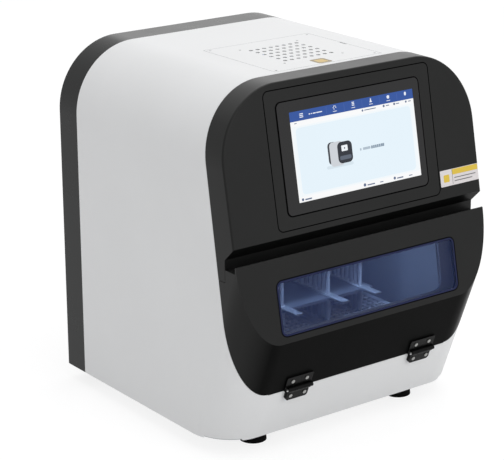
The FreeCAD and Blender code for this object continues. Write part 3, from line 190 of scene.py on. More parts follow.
# Parts of a material
MOTTLE_START = 0.35
MOTTLE_END = 0.65


def shaded(tree, shader, colour, spread, scale):
    """Base colour with a slow mottling of the given spread; returns the mottled colour."""
    ramp = tree.nodes.new("ShaderNodeValToRGB")
    low, high = ramp.color_ramp.elements
    low.position = MOTTLE_START
    low.color = scaled(colour, 1.0 - spread)
    high.position = MOTTLE_END
    high.color = scaled(colour, 1.0 + spread)
    tree.links.new(noise_of(tree, scale, detail=4.0, roughness=0.6), ramp.inputs["Fac"])
    tree.links.new(ramp.outputs["Color"], shader.inputs["Base Color"])
    return ramp.outputs["Color"]


def roughened(tree, shader, low, high, scale):
    """Roughness that wanders between two values."""
    noise = noise_of(tree, scale, detail=3.0, roughness=0.55)
    span = span_of(tree, noise, 0.0, 1.0, low, high)
    tree.links.new(span, shader.inputs["Roughness"])


def grained(tree, shader, scale, strength, depth, stretch=(1.0, 1.0, 1.0), kind="cells"):
    """Fine surface relief, of round cells or of stretched noise."""
    mapping = node(tree, "ShaderNodeMapping", Scale=stretch)
    tree.links.new(object_space(tree), mapping.inputs["Vector"])
    if kind == "cells":
        texture = node(tree, "ShaderNodeTexVoronoi", Scale=scale)
        height = texture.outputs["Distance"]
    else:
        texture = node(tree, "ShaderNodeTexNoise", Scale=scale, Detail=2.0, Roughness=0.5)
        height = texture.outputs["Fac"]
    tree.links.new(mapping.outputs["Vector"], texture.inputs["Vector"])
    bump = node(tree, "ShaderNodeBump", Strength=strength, Distance=depth)
    tree.links.new(height, bump.inputs["Height"])
    tree.links.new(bump.outputs["Normal"], shader.inputs["Normal"])


# Kinds of material
CELL_DEPTH = 0.00006
PLASTIC_MOTTLE = 6.0
PLASTIC_WANDER = 24.0
PLASTIC_SPAN = 0.04
METAL_DEPTH = 0.00004
METAL_GRAIN = 900.0
METAL_SPREAD = 0.06
METAL_MOTTLE = 30.0
METAL_WANDER = 60.0
METAL_SPAN = 0.06
GLOW_BODY = (0.004, 0.004, 0.005)
GLOW_ROUGH = 0.12
GLOW_SPECULAR = 0.25
GLOW_MOTTLE = 9.0
GLOW_DIMMER = 0.985
GLOW_BRIGHTER = 1.01
CLEAR_SPREAD = 0.04
CLEAR_MOTTLE = 8.0
CLEAR_WANDER = 20.0
CLEAR_SPAN = 0.04


def plastic(name, colour, rough, spread=0.05, grain=1400.0, strength=0.25, specular=0.5):
    """Plastic or rubber with a fine cell grain."""
    material, tree, shader = new_material(name)
    shaded(tree, shader, colour, spread, PLASTIC_MOTTLE)
    roughened(tree, shader, rough - PLASTIC_SPAN, rough + PLASTIC_SPAN, PLASTIC_WANDER)
    grained(tree, shader, grain, strength, CELL_DEPTH)
    shader.inputs["Specular IOR Level"].default_value = specular
    return material


def metal(name, colour, rough, stretch=(1.0, 1.0, 1.0), strength=0.2):
    """Metal with a grain that a stretch turns into brushing."""
    material, tree, shader = new_material(name)
    shaded(tree, shader, colour, METAL_SPREAD, METAL_MOTTLE)
    roughened(tree, shader, rough - METAL_SPAN, rough + METAL_SPAN, METAL_WANDER)
    grained(tree, shader, METAL_GRAIN, strength, METAL_DEPTH, stretch, kind="noise")
    shader.inputs["Metallic"].default_value = 1.0
    return material


def glow(name, colour, strength):
    """A lit patch: dark body, its colour as even light."""
    material, tree, shader = new_material(name)
    shader.inputs["Base Color"].default_value = rgba(GLOW_BODY)
    shader.inputs["Roughness"].default_value = GLOW_ROUGH
    shader.inputs["Specular IOR Level"].default_value = GLOW_SPECULAR
    ramp = tree.nodes.new("ShaderNodeValToRGB")
    low, high = ramp.color_ramp.elements
    low.color = scaled(colour, GLOW_DIMMER)
    high.color = scaled(colour, GLOW_BRIGHTER)
    tree.links.new(noise_of(tree, GLOW_MOTTLE, detail=1.0, roughness=0.4), ramp.inputs["Fac"])
    tree.links.new(ramp.outputs["Color"], shader.inputs["Emission Color"])
    shader.inputs["Emission Strength"].default_value = strength
    return material


def clear(name, colour, alpha, rough, specular):
    """Tinted clear sheet."""
    material, tree, shader = new_material(name)
    shaded(tree, shader, colour, CLEAR_SPREAD, CLEAR_MOTTLE)
    roughened(tree, shader, rough, rough + CLEAR_SPAN, CLEAR_WANDER)
    shader.inputs["Alpha"].default_value = alpha
    shader.inputs["Specular IOR Level"].default_value = specular
    material.surface_render_method = "BLENDED"
    return material


# Fascia with painted shade: the parts of the normal at which its darkened skirt, its sides and its
# crown with painted sheen start and end
SLOPE_START = -0.06
SLOPE_END = -0.33
TURN_START = 0.25
TURN_END = 0.80
RISE_START = 0.55
RISE_END = 0.95
FASCIA_COLOUR = (0.0085, 0.0087, 0.0085)
FASCIA_SPREAD = 0.10
FASCIA_ROUGH = (0.32, 0.40)
FASCIA_GRAIN = 1300.0
FASCIA_STRENGTH = 0.30
FASCIA_SPECULAR = 0.18
SKIRT_PAINTED_SHADE = 0.45
SKIRT_PAINTED_DIM_REFLECTION = 0.165
CROWN_PAINTED_SHEEN = 0.17


def fascia_painted_shade(name):
    """Black moulding of the door and screen face, with painted shade: the skirt below the crease is
    darkened and its reflection dimmed, and the crown facing up gets a painted sheen.
    """
    material, tree, shader = new_material(name)
    mottled = shaded(tree, shader, FASCIA_COLOUR, FASCIA_SPREAD, PLASTIC_MOTTLE)
    normal = normal_parts(tree)
    sideways = reckon(tree, "ABSOLUTE", normal["X"])
    below = span_of(tree, normal["Z"], SLOPE_START, SLOPE_END, 0.0, 1.0)
    ahead = span_of(tree, sideways, TURN_START, TURN_END, 1.0, 0.0)
    # Painted shade: faces below the crease that look forward and down are darkened and their
    # reflection dimmed, as if in shade.
    painted_shade_skirt = reckon(tree, "MULTIPLY", below, ahead)
    painted_sheen_crown = span_of(tree, normal["Z"], RISE_START, RISE_END, 0.0, 1.0)
    shade = colour_mix(tree, "MULTIPLY")
    shade.inputs["Factor"].default_value = 1.0
    tree.links.new(mottled, shade.inputs["A"])
    tree.links.new(reckon(tree, "MULTIPLY_ADD", painted_shade_skirt, -SKIRT_PAINTED_SHADE, 1.0), shade.inputs["B"])
    tree.links.new(shade.outputs["Result"], shader.inputs["Base Color"])
    roughened(tree, shader, FASCIA_ROUGH[0], FASCIA_ROUGH[1], PLASTIC_WANDER)
    grained(tree, shader, FASCIA_GRAIN, FASCIA_STRENGTH, CELL_DEPTH)
    skirt_dimmed_specular = reckon(tree, "MULTIPLY_ADD", painted_shade_skirt, -SKIRT_PAINTED_DIM_REFLECTION, FASCIA_SPECULAR)
    # Painted sheen: faces that look up get a stronger reflection.
    painted_reflection_level = reckon(tree, "MULTIPLY_ADD", painted_sheen_crown, CROWN_PAINTED_SHEEN, skirt_dimmed_specular)
    tree.links.new(painted_reflection_level, shader.inputs["Specular IOR Level"])
    return material


# Door's back panel: its two colours, and the part of the normal at which one ends
LINING_BLACK = (0.0085, 0.0087, 0.0090)
LINING_PALE = (0.54, 0.58, 0.66)
LINING_SPREAD = 0.08
LINING_MOTTLE = 9.0
LINING_TURN = 0.3
LINING_ROUGH = (0.38, 0.46)


def door_lining(name):
    """The door's back panel: pale towards the window pane, black on the chamber's side."""
    material, tree, shader = new_material(name)
    mottled = shaded(tree, shader, LINING_BLACK, LINING_SPREAD, LINING_MOTTLE)
    sides = colour_mix(tree, "MIX")
    sides.inputs["A"].default_value = rgba(LINING_PALE)
    tree.links.new(mottled, sides.inputs["B"])
    inward = span_of(tree, normal_parts(tree)["Y"], -LINING_TURN, LINING_TURN, 0.0, 1.0)
    tree.links.new(inward, sides.inputs["Factor"])
    tree.links.new(sides.outputs["Result"], shader.inputs["Base Color"])
    roughened(tree, shader, LINING_ROUGH[0], LINING_ROUGH[1], PLASTIC_WANDER)
    return material


# Materials of the casing
SHELL_WHITE = plastic("shell_white", (0.795, 0.798, 0.80), 0.46,
                      spread=0.012, grain=1500.0, strength=0.12, specular=0.22)
COVER_BLACK = plastic("cover_black", (0.0085, 0.0087, 0.0085), 0.36,
                      spread=0.10, grain=1300.0, strength=0.30, specular=0.19)
FASCIA_BLACK_PAINTED_SHADE = fascia_painted_shade("fascia_black_painted_shade")
BAND_BLACK = plastic("band_black", (0.0070, 0.0076, 0.0075), 0.28,
                     spread=0.10, grain=1300.0, strength=0.22, specular=0.19)
GAP_BLACK = plastic("gap_black", (0.0015, 0.0015, 0.0016), 0.7,
                    spread=0.10, strength=0.0, specular=0.0)
INNER_BLACK = plastic("inner_black", (0.005, 0.005, 0.006), 0.50,
                      spread=0.08, specular=0.14)
PANEL_GREY = plastic("panel_grey", (0.030, 0.031, 0.033), 0.5,
                     spread=0.08, grain=900.0, strength=0.4, specular=0.3)
RIM_GREY = plastic("vent_rim", (0.055, 0.055, 0.058), 0.6,
                   spread=0.05, strength=0.0, specular=0.05)
GAP_GREY = plastic("panel_gap", (0.26, 0.26, 0.27), 0.6,
                   spread=0.05, strength=0.0, specular=0.1)
RUBBER = plastic("rubber", (0.0035, 0.0035, 0.0035), 0.75,
                 spread=0.15, grain=700.0, strength=0.5, specular=0.04)
HINGE_BLACK = plastic("hinge_black", (0.0030, 0.0030, 0.0030), 0.26,
                      spread=0.12, grain=1100.0, strength=0.35, specular=0.09)
HINGE_SCREW = metal("hinge_screw", (0.33, 0.33, 0.32), 0.34)
DULL_SCREW = metal("dull_screw", (0.24, 0.24, 0.25), 0.40)
SCREW_STEEL = metal("screw_steel", (0.66, 0.66, 0.65), 0.30)
GLASS_BLACK = plastic("glass_black", (0.004, 0.004, 0.0045), 0.10,
                      spread=0.05, strength=0.0, specular=0.4)
WINDOW_TINT = clear("window_tint", (0.024, 0.041, 0.130), 0.34, rough=0.04, specular=0.2)
WINDOW_EDGE = plastic("window_edge", (0.012, 0.017, 0.060), 0.25,
                      spread=0.10, strength=0.0, specular=0.15)
DOOR_LINER = door_lining("door_liner")

# Materials of the inside
FAN_BLACK = plastic("fan_black", (0.012, 0.012, 0.013), 0.45)
MOTOR_BLACK = plastic("motor_black", (0.016, 0.016, 0.018), 0.4)
BOARD_GREEN = plastic("board_green", (0.015, 0.12, 0.05), 0.35)
STEEL = metal("steel", (0.60, 0.60, 0.60), 0.28, stretch=(1.0, 1.0, 12.0))
CHROME = metal("chrome", (0.75, 0.75, 0.76), 0.12, strength=0.03)
ALUMINIUM = metal("aluminium", (0.62, 0.63, 0.66), 0.36, stretch=(1.0, 14.0, 1.0))
PLATE_STEEL = metal("plate_steel", (0.42, 0.43, 0.44), 0.45)
LINER = plastic("liner", (0.41, 0.44, 0.48), 0.4, spread=0.05, strength=0.15)
JAMB = plastic("jamb", (0.40, 0.43, 0.48), 0.5, spread=0.05, strength=0.1)
COMB = plastic("comb", (0.43, 0.46, 0.50), 0.30, spread=0.04, strength=0.05)
WELLS = plastic("wells", (0.72, 0.77, 0.84), 0.3, spread=0.04, strength=0.05)
LIP = plastic("clear_lip", (0.93, 0.94, 0.95), 0.2, spread=0.02, strength=0.0)
ROD_METAL = plastic("rod_metal", (0.66, 0.70, 0.78), 0.26, spread=0.04, strength=0.03)
ANODISED = plastic("anodised", (0.21, 0.23, 0.27), 0.34, spread=0.04, strength=0.05)
LAMP = glow("lamp_glow", (0.44, 0.62, 1.0), 22.0)

# Material of each slot of the record, and of the nodes that depart from their slot
slot_material = {
    "white_shell": SHELL_WHITE,
    "black_cover": COVER_BLACK,
    "black_inner": INNER_BLACK,
    "grey_panel": PANEL_GREY,
    "steel_plate": PLATE_STEEL,
    "rubber_black": RUBBER,
    "screw_steel": SCREW_STEEL,
    "guard_chrome": CHROME,
    "fan_plastic": FAN_BLACK,
    "screen_glass": GLASS_BLACK,
    "display_body": INNER_BLACK,
    "window_tint": WINDOW_TINT,
    "hinge_black": HINGE_BLACK,
    "magnet_nickel": CHROME,
    "liner_metal": LINER,
    "block_aluminium": ALUMINIUM,
    "arm_aluminium": ALUMINIUM,
    "rail_steel": STEEL,
    "motor_black": MOTOR_BLACK,
    "clear_plastic": COMB,
    "lamp_glass": LAMP,
    "supply_metal": ALUMINIUM,
    "board_green": BOARD_GREEN,
}
node_material = {
    "left_well_plate": WELLS,
    "right_well_plate": WELLS,
    "rear_bezel": BAND_BLACK,
    "door_shell": FASCIA_BLACK_PAINTED_SHADE,
    "front_bezel": FASCIA_BLACK_PAINTED_SHADE,
    "opening_frame": JAMB,
    "door_inner_panel": DOOR_LINER,
    "sleeve_holder": ANODISED,
    "magnet_rods": ROD_METAL,
    "power_inlet": INNER_BLACK,
    "data_ports": INNER_BLACK,
    "power_rocker": INNER_BLACK,
    "service_panel_screws": DULL_SCREW,
    "hinge_door_screws": HINGE_SCREW,
    "hinge_base_screws": HINGE_SCREW,
}


def dress_nodes():
    """Gives every construction node its material."""
    slots = {part["node"]: part["material_slot"] for part in frame["record"]["subparts"]}
    for name, obj in nodes.items():
        material = slot_material[slots[name]]
        obj.data.materials.clear()
        obj.data.materials.append(node_material.get(name, material))


# Mesh helpers
ARC_STEPS = 10
SMALLEST_FLAT = 1e-6
SMOOTH_ANGLE = 30.0


def rounded_loop(x, y, width, height, radius, steps=ARC_STEPS):
    """Outline of a rectangle with round corners, centred on (x, y)."""
    radius = min(radius, width / 2 - SMALLEST_FLAT, height / 2 - SMALLEST_FLAT)
    points = []
    for k, (sx, sy) in enumerate(((1, 1), (-1, 1), (-1, -1), (1, -1))):
        cx = x + sx * (width / 2 - radius)
        cy = y + sy * (height / 2 - radius)
        for i in range(steps + 1):
            angle = math.radians(90.0 * (k + i / steps))
            points.append((cx + radius * math.cos(angle), cy + radius * math.sin(angle)))
    return points


def circle_loop(x, y, radius, steps):
    """Outline of a circle round (x, y)."""
    angles = [math.tau * i / steps for i in range(steps)]
    return [(x + radius * math.cos(angle), y + radius * math.sin(angle)) for angle in angles]


def in_a_row(count, pitch):
    """Places of a row of points, centred on zero."""
    return [(k - (count - 1) / 2) * pitch for k in range(count)]


def add_slab(bm, outline, z0, z1, hole=None):
    """Closed slab between z0 and z1; a hole needs as many points as the outline."""
    low = [bm.verts.new((x, y, z0)) for x, y in outline]
    high = [bm.verts.new((x, y, z1)) for x, y in outline]
    count = len(outline)
    for i in range(count):
        j = (i + 1) % count
        bm.faces.new((low[i], low[j], high[j], high[i]))
    if hole is None:
        bm.faces.new(high)
        bm.faces.new(low[::-1])
        return
    low_in = [bm.verts.new((x, y, z0)) for x, y in hole]
    high_in = [bm.verts.new((x, y, z1)) for x, y in hole]
    for i in range(count):
        j = (i + 1) % count
        bm.faces.new((low_in[j], low_in[i], high_in[i], high_in[j]))
        bm.faces.new((high[i], high[j], high_in[j], high_in[i]))
        bm.faces.new((low[j], low[i], low_in[i], low_in[j]))


def finish_mesh(name, bm, matrix, material, body):
    """Turns a bmesh into a piece of the object that rides on a body."""
    bmesh.ops.recalc_face_normals(bm, faces=bm.faces)
    mesh = bpy.data.meshes.new(name)
    bm.to_mesh(mesh)
    bm.free()
    mesh.transform(matrix)
    obj = bpy.data.objects.new(name, mesh)
    bpy.context.scene.collection.objects.link(obj)
    mesh.materials.append(material)
    for polygon in mesh.polygons:
        polygon.use_smooth = True
    mesh.set_sharp_from_angle(angle=math.radians(SMOOTH_ANGLE))
    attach(obj, body)
    return obj


def slabs(name, shapes, z0, z1, matrix, material):
    """One piece of the housing made of several flat slabs."""
    bm = bmesh.new()
    for outline in shapes:
        add_slab(bm, outline, z0, z1)
    return finish_mesh(name, bm, matrix, material, "housing")


def face_matrix():
    """Places flat work on the screen face: X right, Y up the face from the crease, Z out."""
    turn = Matrix.Rotation(math.radians(90.0 - UPPER_TILT), 4, "X")
    return Matrix.Translation((0, FRONT_Y, CREASE_Z)) @ turn


FACE = face_matrix()
TOP = Matrix.Translation((0, 0, TOP_Z))

# Touch glass: its upper face lies a little below the surround's
GLASS_TOP = -0.0004
GLASS_SLACK = 0.00005
DISPLAY_CORNER = 0.0006


def make_touch_glass():
    """Black border of the touch glass, open over the lit display."""
    width = GLASS_WIDTH - GLASS_SLACK
    height = GLASS_HEIGHT - GLASS_SLACK
    outer = rounded_loop(0, SCREEN_CENTRE, width, height, GLASS_CORNER)
    inner = rounded_loop(DISPLAY_SHIFT, SCREEN_CENTRE, DISPLAY_WIDTH, DISPLAY_HEIGHT, DISPLAY_CORNER)
    bm = bmesh.new()
    add_slab(bm, outer, -SURROUND_DEPTH, GLASS_TOP, inner)
    border = finish_mesh("touch_glass_border", bm, FACE, GLASS_BLACK, "housing")
    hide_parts("touch_glass")


# Display: layers over a back sheet, placed by shares of its width and height
BACK_LOW = GLASS_TOP - 0.0006
LAYERS_LOW = GLASS_TOP - 0.0003
LAYER = 0.00006
DISPLAY_STRENGTH = 1.0
MARK_CORNER = 0.0003


def on_display(u, v):
    """Point of the display: u runs 0 to 1 to the right, v runs 0 to 1 down."""
    return DISPLAY_SHIFT + (u - 0.5) * DISPLAY_WIDTH, SCREEN_CENTRE + (0.5 - v) * DISPLAY_HEIGHT


def display_box(u0, v0, u1, v1, radius=MARK_CORNER):
    """Outline of a box on the display, by its upper left and lower right corners."""
    x0, y1 = on_display(u0, v0)
    x1, y0 = on_display(u1, v1)
    return rounded_loop((x0 + x1) / 2, (y0 + y1) / 2, x1 - x0, y1 - y0, radius, steps=3)


def display_dot(u, v, radius):
    """Outline of a dot on the display."""
    x, y = on_display(u, v)
    return circle_loop(x, y, radius, steps=16)


def display_layer(name, shapes, layer, colour):
    """One lit layer of the display; layer 0 is the back sheet."""
    low = BACK_LOW if layer == 0 else LAYERS_LOW + (layer - 1) * LAYER
    high = LAYERS_LOW + layer * LAYER
    lit = glow("lit_" + name, colour, DISPLAY_STRENGTH)
    piece = slabs("display_" + name, shapes, low, high, FACE, lit)


# Header of the display: shares of the display's height and width
HEADER = 0.110
ICON_LEVEL = 0.36
MENU_PLACE = 0.092
MENU_LEVEL = 0.50
TITLE_LEVELS = (0.46, 0.56)
TITLE_BARS = ((0.150, 0.162), (0.168, 0.176), (0.182, 0.206), (0.210, 0.256))
DIVIDER_LEVELS = (0.15, 0.85)
DIVIDERS = (0.290, 0.432, 0.577, 0.721, 0.865)
DIVIDER_HALF = 0.0009

# Pictograms of the header, in metres; a bar or patch is given by width, height and corner
DOT_TURNS = (0, 60, 120, 180, 240)
DOT_RING = 0.0020
DOT_RADIUS = 0.0007
STACK_BAR = (0.0038, 0.0011, 0.0004)
STACK_TOP = 0.0019
STACK_STEP = 0.0018
FLASK_FOOT = 0.0020
FLASK_NECK = 0.0007
FLASK_LEVELS = (-0.0023, 0.0005, 0.0024)
COG_POINTS = 24
COG_OUTER = 0.0024
COG_INNER = 0.0017
TALL_PATCH = (0.0030, 0.0046, 0.0014)
ICON_BAR = (0.0060, 0.0007, 0.0003)
ICON_BAR_DROP = 0.0046
MENU_BAR = (0.0056, 0.0010, 0.0003)
MENU_STEP = 0.0020


def dots_icon(x, y):
    """Five dots on a ring."""
    dots = []
    for turn in DOT_TURNS:
        angle = math.radians(turn)
        dot_x = x + DOT_RING * math.cos(angle)
        dot_y = y + DOT_RING * math.sin(angle)
        dots.append(circle_loop(dot_x, dot_y, DOT_RADIUS, steps=10))
    return dots


def stack_icon(x, y):
    """Three flat bars."""
    return [rounded_loop(x, y + STACK_TOP - row * STACK_STEP, *STACK_BAR, steps=3) for row in range(3)]


def flask_icon(x, y):
    """A flask with a straight neck."""
    foot, shoulder, mouth = FLASK_LEVELS
    right = ((FLASK_FOOT, foot), (FLASK_NECK, shoulder), (FLASK_NECK, mouth))
    left = [(-dx, dy) for dx, dy in right[::-1]]
    return [[(x + dx, y + dy) for dx, dy in list(right) + left]]


def cog_icon(x, y):
    """A wheel with eight notches."""
    cog = []
    for i in range(COG_POINTS):
        radius = COG_OUTER if i % 3 else COG_INNER
        angle = math.tau * i / COG_POINTS
        cog.append((x + radius * math.cos(angle), y + radius * math.sin(angle)))
    return [cog]


def tall_icon(x, y):
    """A tall round-cornered patch."""
    return [rounded_loop(x, y, *TALL_PATCH, steps=6)]


# Place along the header, pictogram, and whether a short bar stands under it
HEADER_ICONS = (
    (0.356, dots_icon, True),
    (0.505, stack_icon, True),
    (0.649, flask_icon, True),
    (0.793, cog_icon, True),
    (0.936, tall_icon, False),
)


def header_icons():
    """The pictograms, most of them over a short bar."""
    shapes = []
    for u, icon, underlined in HEADER_ICONS:
        x, y = on_display(u, HEADER * ICON_LEVEL)
        shapes.extend(icon(x, y))
        if underlined:
            shapes.append(rounded_loop(x, y - ICON_BAR_DROP, *ICON_BAR, steps=3))
    return shapes


def header_mark():
    """A plain menu pictogram at the left, and a broken bar where a title would be."""
    x, y = on_display(MENU_PLACE, HEADER * MENU_LEVEL)
    bars = [rounded_loop(x, y + level * MENU_STEP, *MENU_BAR, steps=3) for level in (-1, 0, 1)]
    v0, v1 = [HEADER * level for level in TITLE_LEVELS]
    bars += [display_box(u0, v0, u1, v1) for u0, u1 in TITLE_BARS]
    return bars


# Small picture of the instrument, in millimetres: name, centre, size, corner, steps, layer, colour
MM = 0.001
PICTURE_PLACE = (0.361, 0.556)
PICTURE = (
    ("picture_shadow", (-2.0, -14.6), (42.0, 4.0), 2.0, 8, 3, (0.66, 0.76, 0.83)),
    ("picture_back", (-12.0, 2.0), (14.0, 27.5), 5.0, 8, 4, (0.035, 0.040, 0.050)),
    ("picture_body", (-5.5, 0.3), (21.5, 30.0), 5.0, 8, 5, (0.60, 0.63, 0.67)),
    ("picture_front", (7.5, 0.6), (23.0, 26.5), 6.0, 8, 6, (0.020, 0.024, 0.034)),
    ("picture_window", (7.7, -6.0), (18.0, 5.0), 1.8, 6, 7, (0.10, 0.12, 0.16)),
    ("picture_lit", (7.2, 5.6), (9.6, 7.2), 0.8, 4, 7, (0.86, 0.90, 0.93)),
    ("picture_spot", (7.2, 5.6), (1.6, 2.2), 0.5, 4, 8, (0.05, 0.06, 0.08)),
)


def make_picture():
    """The instrument's own outline as a small picture on the display."""
    x, y = on_display(PICTURE_PLACE[0], PICTURE_PLACE[1])
    for name, (dx, dy), (width, height), corner, steps, layer, colour in PICTURE:
        patch = rounded_loop(x + dx * MM, y + dy * MM, width * MM, height * MM, corner * MM, steps)
        display_layer(name, [patch], layer, colour)


# Parts of the display: boxes by their two corners, dots by centre and radius in metres
SHEET = (0.0, 0.0, 1.0, 1.0)
FIELD_EDGE = (0.010, 0.165, 0.990, 0.940)
FIELD_EDGE_CORNER = 0.0010
FIELD = (0.035, 0.185, 0.965, 0.920)
FIELD_CORNER = 0.0050
CAPTION_PALE = ((0.520, 0.548, 0.532, 0.574), (0.545, 0.545, 0.605, 0.574))
CAPTION_DARK = (0.612, 0.628, 0.644, 0.660, 0.676, 0.692, 0.706)
CAPTION_LEVELS = (0.543, 0.577)
CAPTION_BREADTH = 0.013
STATUS_BOXES = (
    (0.590, 0.130, 0.685, 0.140),
    (0.768, 0.128, 0.796, 0.138),
    (0.852, 0.128, 0.880, 0.138),
    (0.955, 0.128, 0.978, 0.138),
    (0.030, 0.128, 0.050, 0.136),
    (0.048, 0.968, 0.100, 0.984),
    (0.549, 0.966, 0.610, 0.980),
    (0.652, 0.968, 0.680, 0.978),
    (0.795, 0.966, 0.848, 0.980),
    (0.896, 0.968, 0.925, 0.978),
)
STATUS_DOTS = (
    (0.575, 0.135, 0.0014),
    (0.750, 0.132, 0.0016),
    (0.838, 0.132, 0.0016),
    (0.936, 0.132, 0.0014),
    (0.030, 0.972, 0.0018),
    (0.528, 0.966, 0.0021),
    (0.776, 0.966, 0.0019),
)


# Colours of the display
SHEET_WHITE = (0.93, 0.935, 0.94)
EDGE_BLUE = (0.87, 0.92, 0.947)
FIELD_BLUE = (0.77, 0.875, 0.945)
HEADER_BLUE = (0.022, 0.080, 0.330)
ICON_WHITE = (0.84, 0.88, 0.95)
DIVIDER_BLUE = (0.070, 0.135, 0.42)
PALE_GREY = (0.42, 0.50, 0.58)
DARK_GREY = (0.23, 0.30, 0.38)
STATUS_INK = (0.12, 0.16, 0.26)


def make_display():
    """All layers of the lit display."""
    top, bottom = [HEADER * level for level in DIVIDER_LEVELS]
    dividers = [display_box(u - DIVIDER_HALF, top, u + DIVIDER_HALF, bottom) for u in DIVIDERS]
    display_layer("back", [display_box(*SHEET)], 0, SHEET_WHITE)
    display_layer("field_edge", [display_box(*FIELD_EDGE, radius=FIELD_EDGE_CORNER)], 1, EDGE_BLUE)
    display_layer("field", [display_box(*FIELD, radius=FIELD_CORNER)], 2, FIELD_BLUE)
    display_layer("header", [display_box(0.0, 0.0, 1.0, HEADER)], 1, HEADER_BLUE)
    display_layer("icons", header_icons() + header_mark(), 2, ICON_WHITE)
    display_layer("dividers", dividers, 2, DIVIDER_BLUE)
    make_picture()
    top, bottom = CAPTION_LEVELS
    pale = [display_box(*corners) for corners in CAPTION_PALE]
    dark = [display_box(u, top, u + CAPTION_BREADTH, bottom) for u in CAPTION_DARK]
    marks = [display_box(*corners) for corners in STATUS_BOXES]
    marks += [display_dot(*dot) for dot in STATUS_DOTS]
    display_layer("caption_pale", pale, 3, PALE_GREY)
    display_layer("caption_dark", dark, 3, DARK_GREY)
    display_layer("status_marks", marks, 2, STATUS_INK)


# Seams on the front; each follows a form given by its centre, width, height and corner
SURROUND_FORM = (SCREEN_CENTRE, SURROUND_WIDTH, SURROUND_HEIGHT, SURROUND_CORNER)
GLASS_FORM = (SCREEN_CENTRE, GLASS_WIDTH, GLASS_HEIGHT, GLASS_CORNER)
WINDOW_FORM = (WINDOW_CENTRE, WINDOW_WIDTH, WINDOW_HEIGHT, WINDOW_CORNER)
SEAM_LOW = 0.00001
SEAM_HIGH = 0.00006
EDGE_HIGH = 0.00005
SMALLEST_CORNER = 0.0005


def ring(name, form, growth, breadth, high, material, body, shadow_shift):
    """Flat ring on the front, wider than a form by its growth; a shadow shift moves only its outer
    edge, which paints a shadow along one side.
    """
    centre, width, height, corner = form
    width += growth
    height += growth
    corner += growth / 2
    outer = rounded_loop(shadow_shift, centre, width, height, corner)
    inner_corner = max(corner - breadth, SMALLEST_CORNER)
    inner = rounded_loop(0, centre, width - 2 * breadth, height - 2 * breadth, inner_corner)
    bm = bmesh.new()
    add_slab(bm, outer, SEAM_LOW, high, inner)
    finish_mesh(name, bm, FACE, material, body)


# Dark gaps, one widened on its left by painted shadow, and the pane's blue edge: name, form, growth,
# breadth, height, material, body, shadow shift
SEAMS = (
    ("surround_seam", SURROUND_FORM, 0.0010, 0.0013, SEAM_HIGH, GAP_BLACK, "housing", 0.0),
    # The glass seam's outer edge moves left: a painted shadow of the recessed glass along its left
    # side.
    ("glass_seam_and_shadow", GLASS_FORM, 0.0026, 0.0015, SEAM_HIGH, GAP_BLACK, "housing", -0.0008),
    ("window_gap", WINDOW_FORM, 0.0012, 0.0014, SEAM_HIGH, GAP_BLACK, "door", 0.0),
    ("window_edge", WINDOW_FORM, -0.0014, 0.0026, EDGE_HIGH, WINDOW_EDGE, "door", 0.0),
)


# Lips of the wells and of the comb sleeves: half width, corner, breadth and height
WELL_LIP = (0.00445, 0.0012, 0.0004, 0.0004)
SLEEVE_LIP = (0.0039, 0.0038, 0.0009, 0.0005)


def lips(name, places, lip, base, body):
    """Low square or round lips at many places, made as one piece."""
    half, corner, breadth, high = lip
    hole = half - breadth
    bm = bmesh.new()
    for x, y in places:
        outer = rounded_loop(x, y, 2 * half, 2 * half, corner, steps=3)
        inner = rounded_loop(x, y, 2 * hole, 2 * hole, corner - breadth, steps=3)
        add_slab(bm, outer, base, base + high, inner)
    finish_mesh(name, bm, Matrix.Identity(4), LIP, body)


def make_lips():
    """Lips on both well plates and on the sleeves of the combs."""
    rows = [PLATE_Y + y for y in in_a_row(WELL_ROWS, WELL_PITCH)]
    for side, centre in zip(("left", "right"), PLATE_CENTRES):
        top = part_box(side + "_well_plate")[1][2]
        wells = [(centre + x, y) for x in in_a_row(WELL_COLUMNS, WELL_PITCH) for y in rows]
        lips(side + "_well_lips", wells, WELL_LIP, top, "housing")
    columns = [centre + column * WELL_PITCH for centre in PLATE_CENTRES for column in COMB_COLUMNS]
    mouths = [(x, y) for x in columns for y in rows]
    lips("sleeve_lips", mouths, SLEEVE_LIP, COMB_TOP, "sleeve_carriage")


# Details of the top: rims of the vent holes and the gap round the service panel
PATCH_LOW = 0.000004
PATCH_THICK = 0.00001
VENT_RIM = 0.0027
PANEL_GAP_OUT = 0.0008
PANEL_GAP_OUT_CORNER = 0.0006
PANEL_GAP_IN = 0.0004
PANEL_GAP_IN_CORNER = 0.0003


def make_top_details():
    """Dark rims round the vent holes, and the fine gap round the service panel."""
    low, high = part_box("service_panel")
    middle_x = (low[0] + high[0]) / 2
    middle_y = (low[1] + high[1]) / 2
    width = high[0] - low[0]
    depth = high[1] - low[1]
    bm = bmesh.new()
    for across in in_a_row(VENT_COUNT[0], VENT_PITCH[0]):
        for along in in_a_row(VENT_COUNT[1], VENT_PITCH[1]):
            x = middle_x + VENT_SHIFT[0] + across
            y = middle_y + VENT_SHIFT[1] + along
            outer = rounded_loop(x, y, 2 * VENT_RIM, 2 * VENT_RIM, VENT_RIM, steps=5)
            inner = rounded_loop(x, y, 2 * VENT_HOLE, 2 * VENT_HOLE, VENT_HOLE, steps=5)
            add_slab(bm, outer, PATCH_LOW, PATCH_THICK, inner)
    finish_mesh("vent_rims", bm, TOP, RIM_GREY, "housing")
    bm = bmesh.new()
    outer = rounded_loop(middle_x, middle_y, width + PANEL_GAP_OUT, depth + PANEL_GAP_OUT,
                         PANEL_GAP_OUT_CORNER, steps=3)
    inner = rounded_loop(middle_x, middle_y, width - PANEL_GAP_IN, depth - PANEL_GAP_IN,
                         PANEL_GAP_IN_CORNER, steps=3)
    add_slab(bm, outer, PATCH_LOW, PATCH_THICK, inner)
    finish_mesh("panel_gap", bm, TOP, GAP_GREY, "housing")


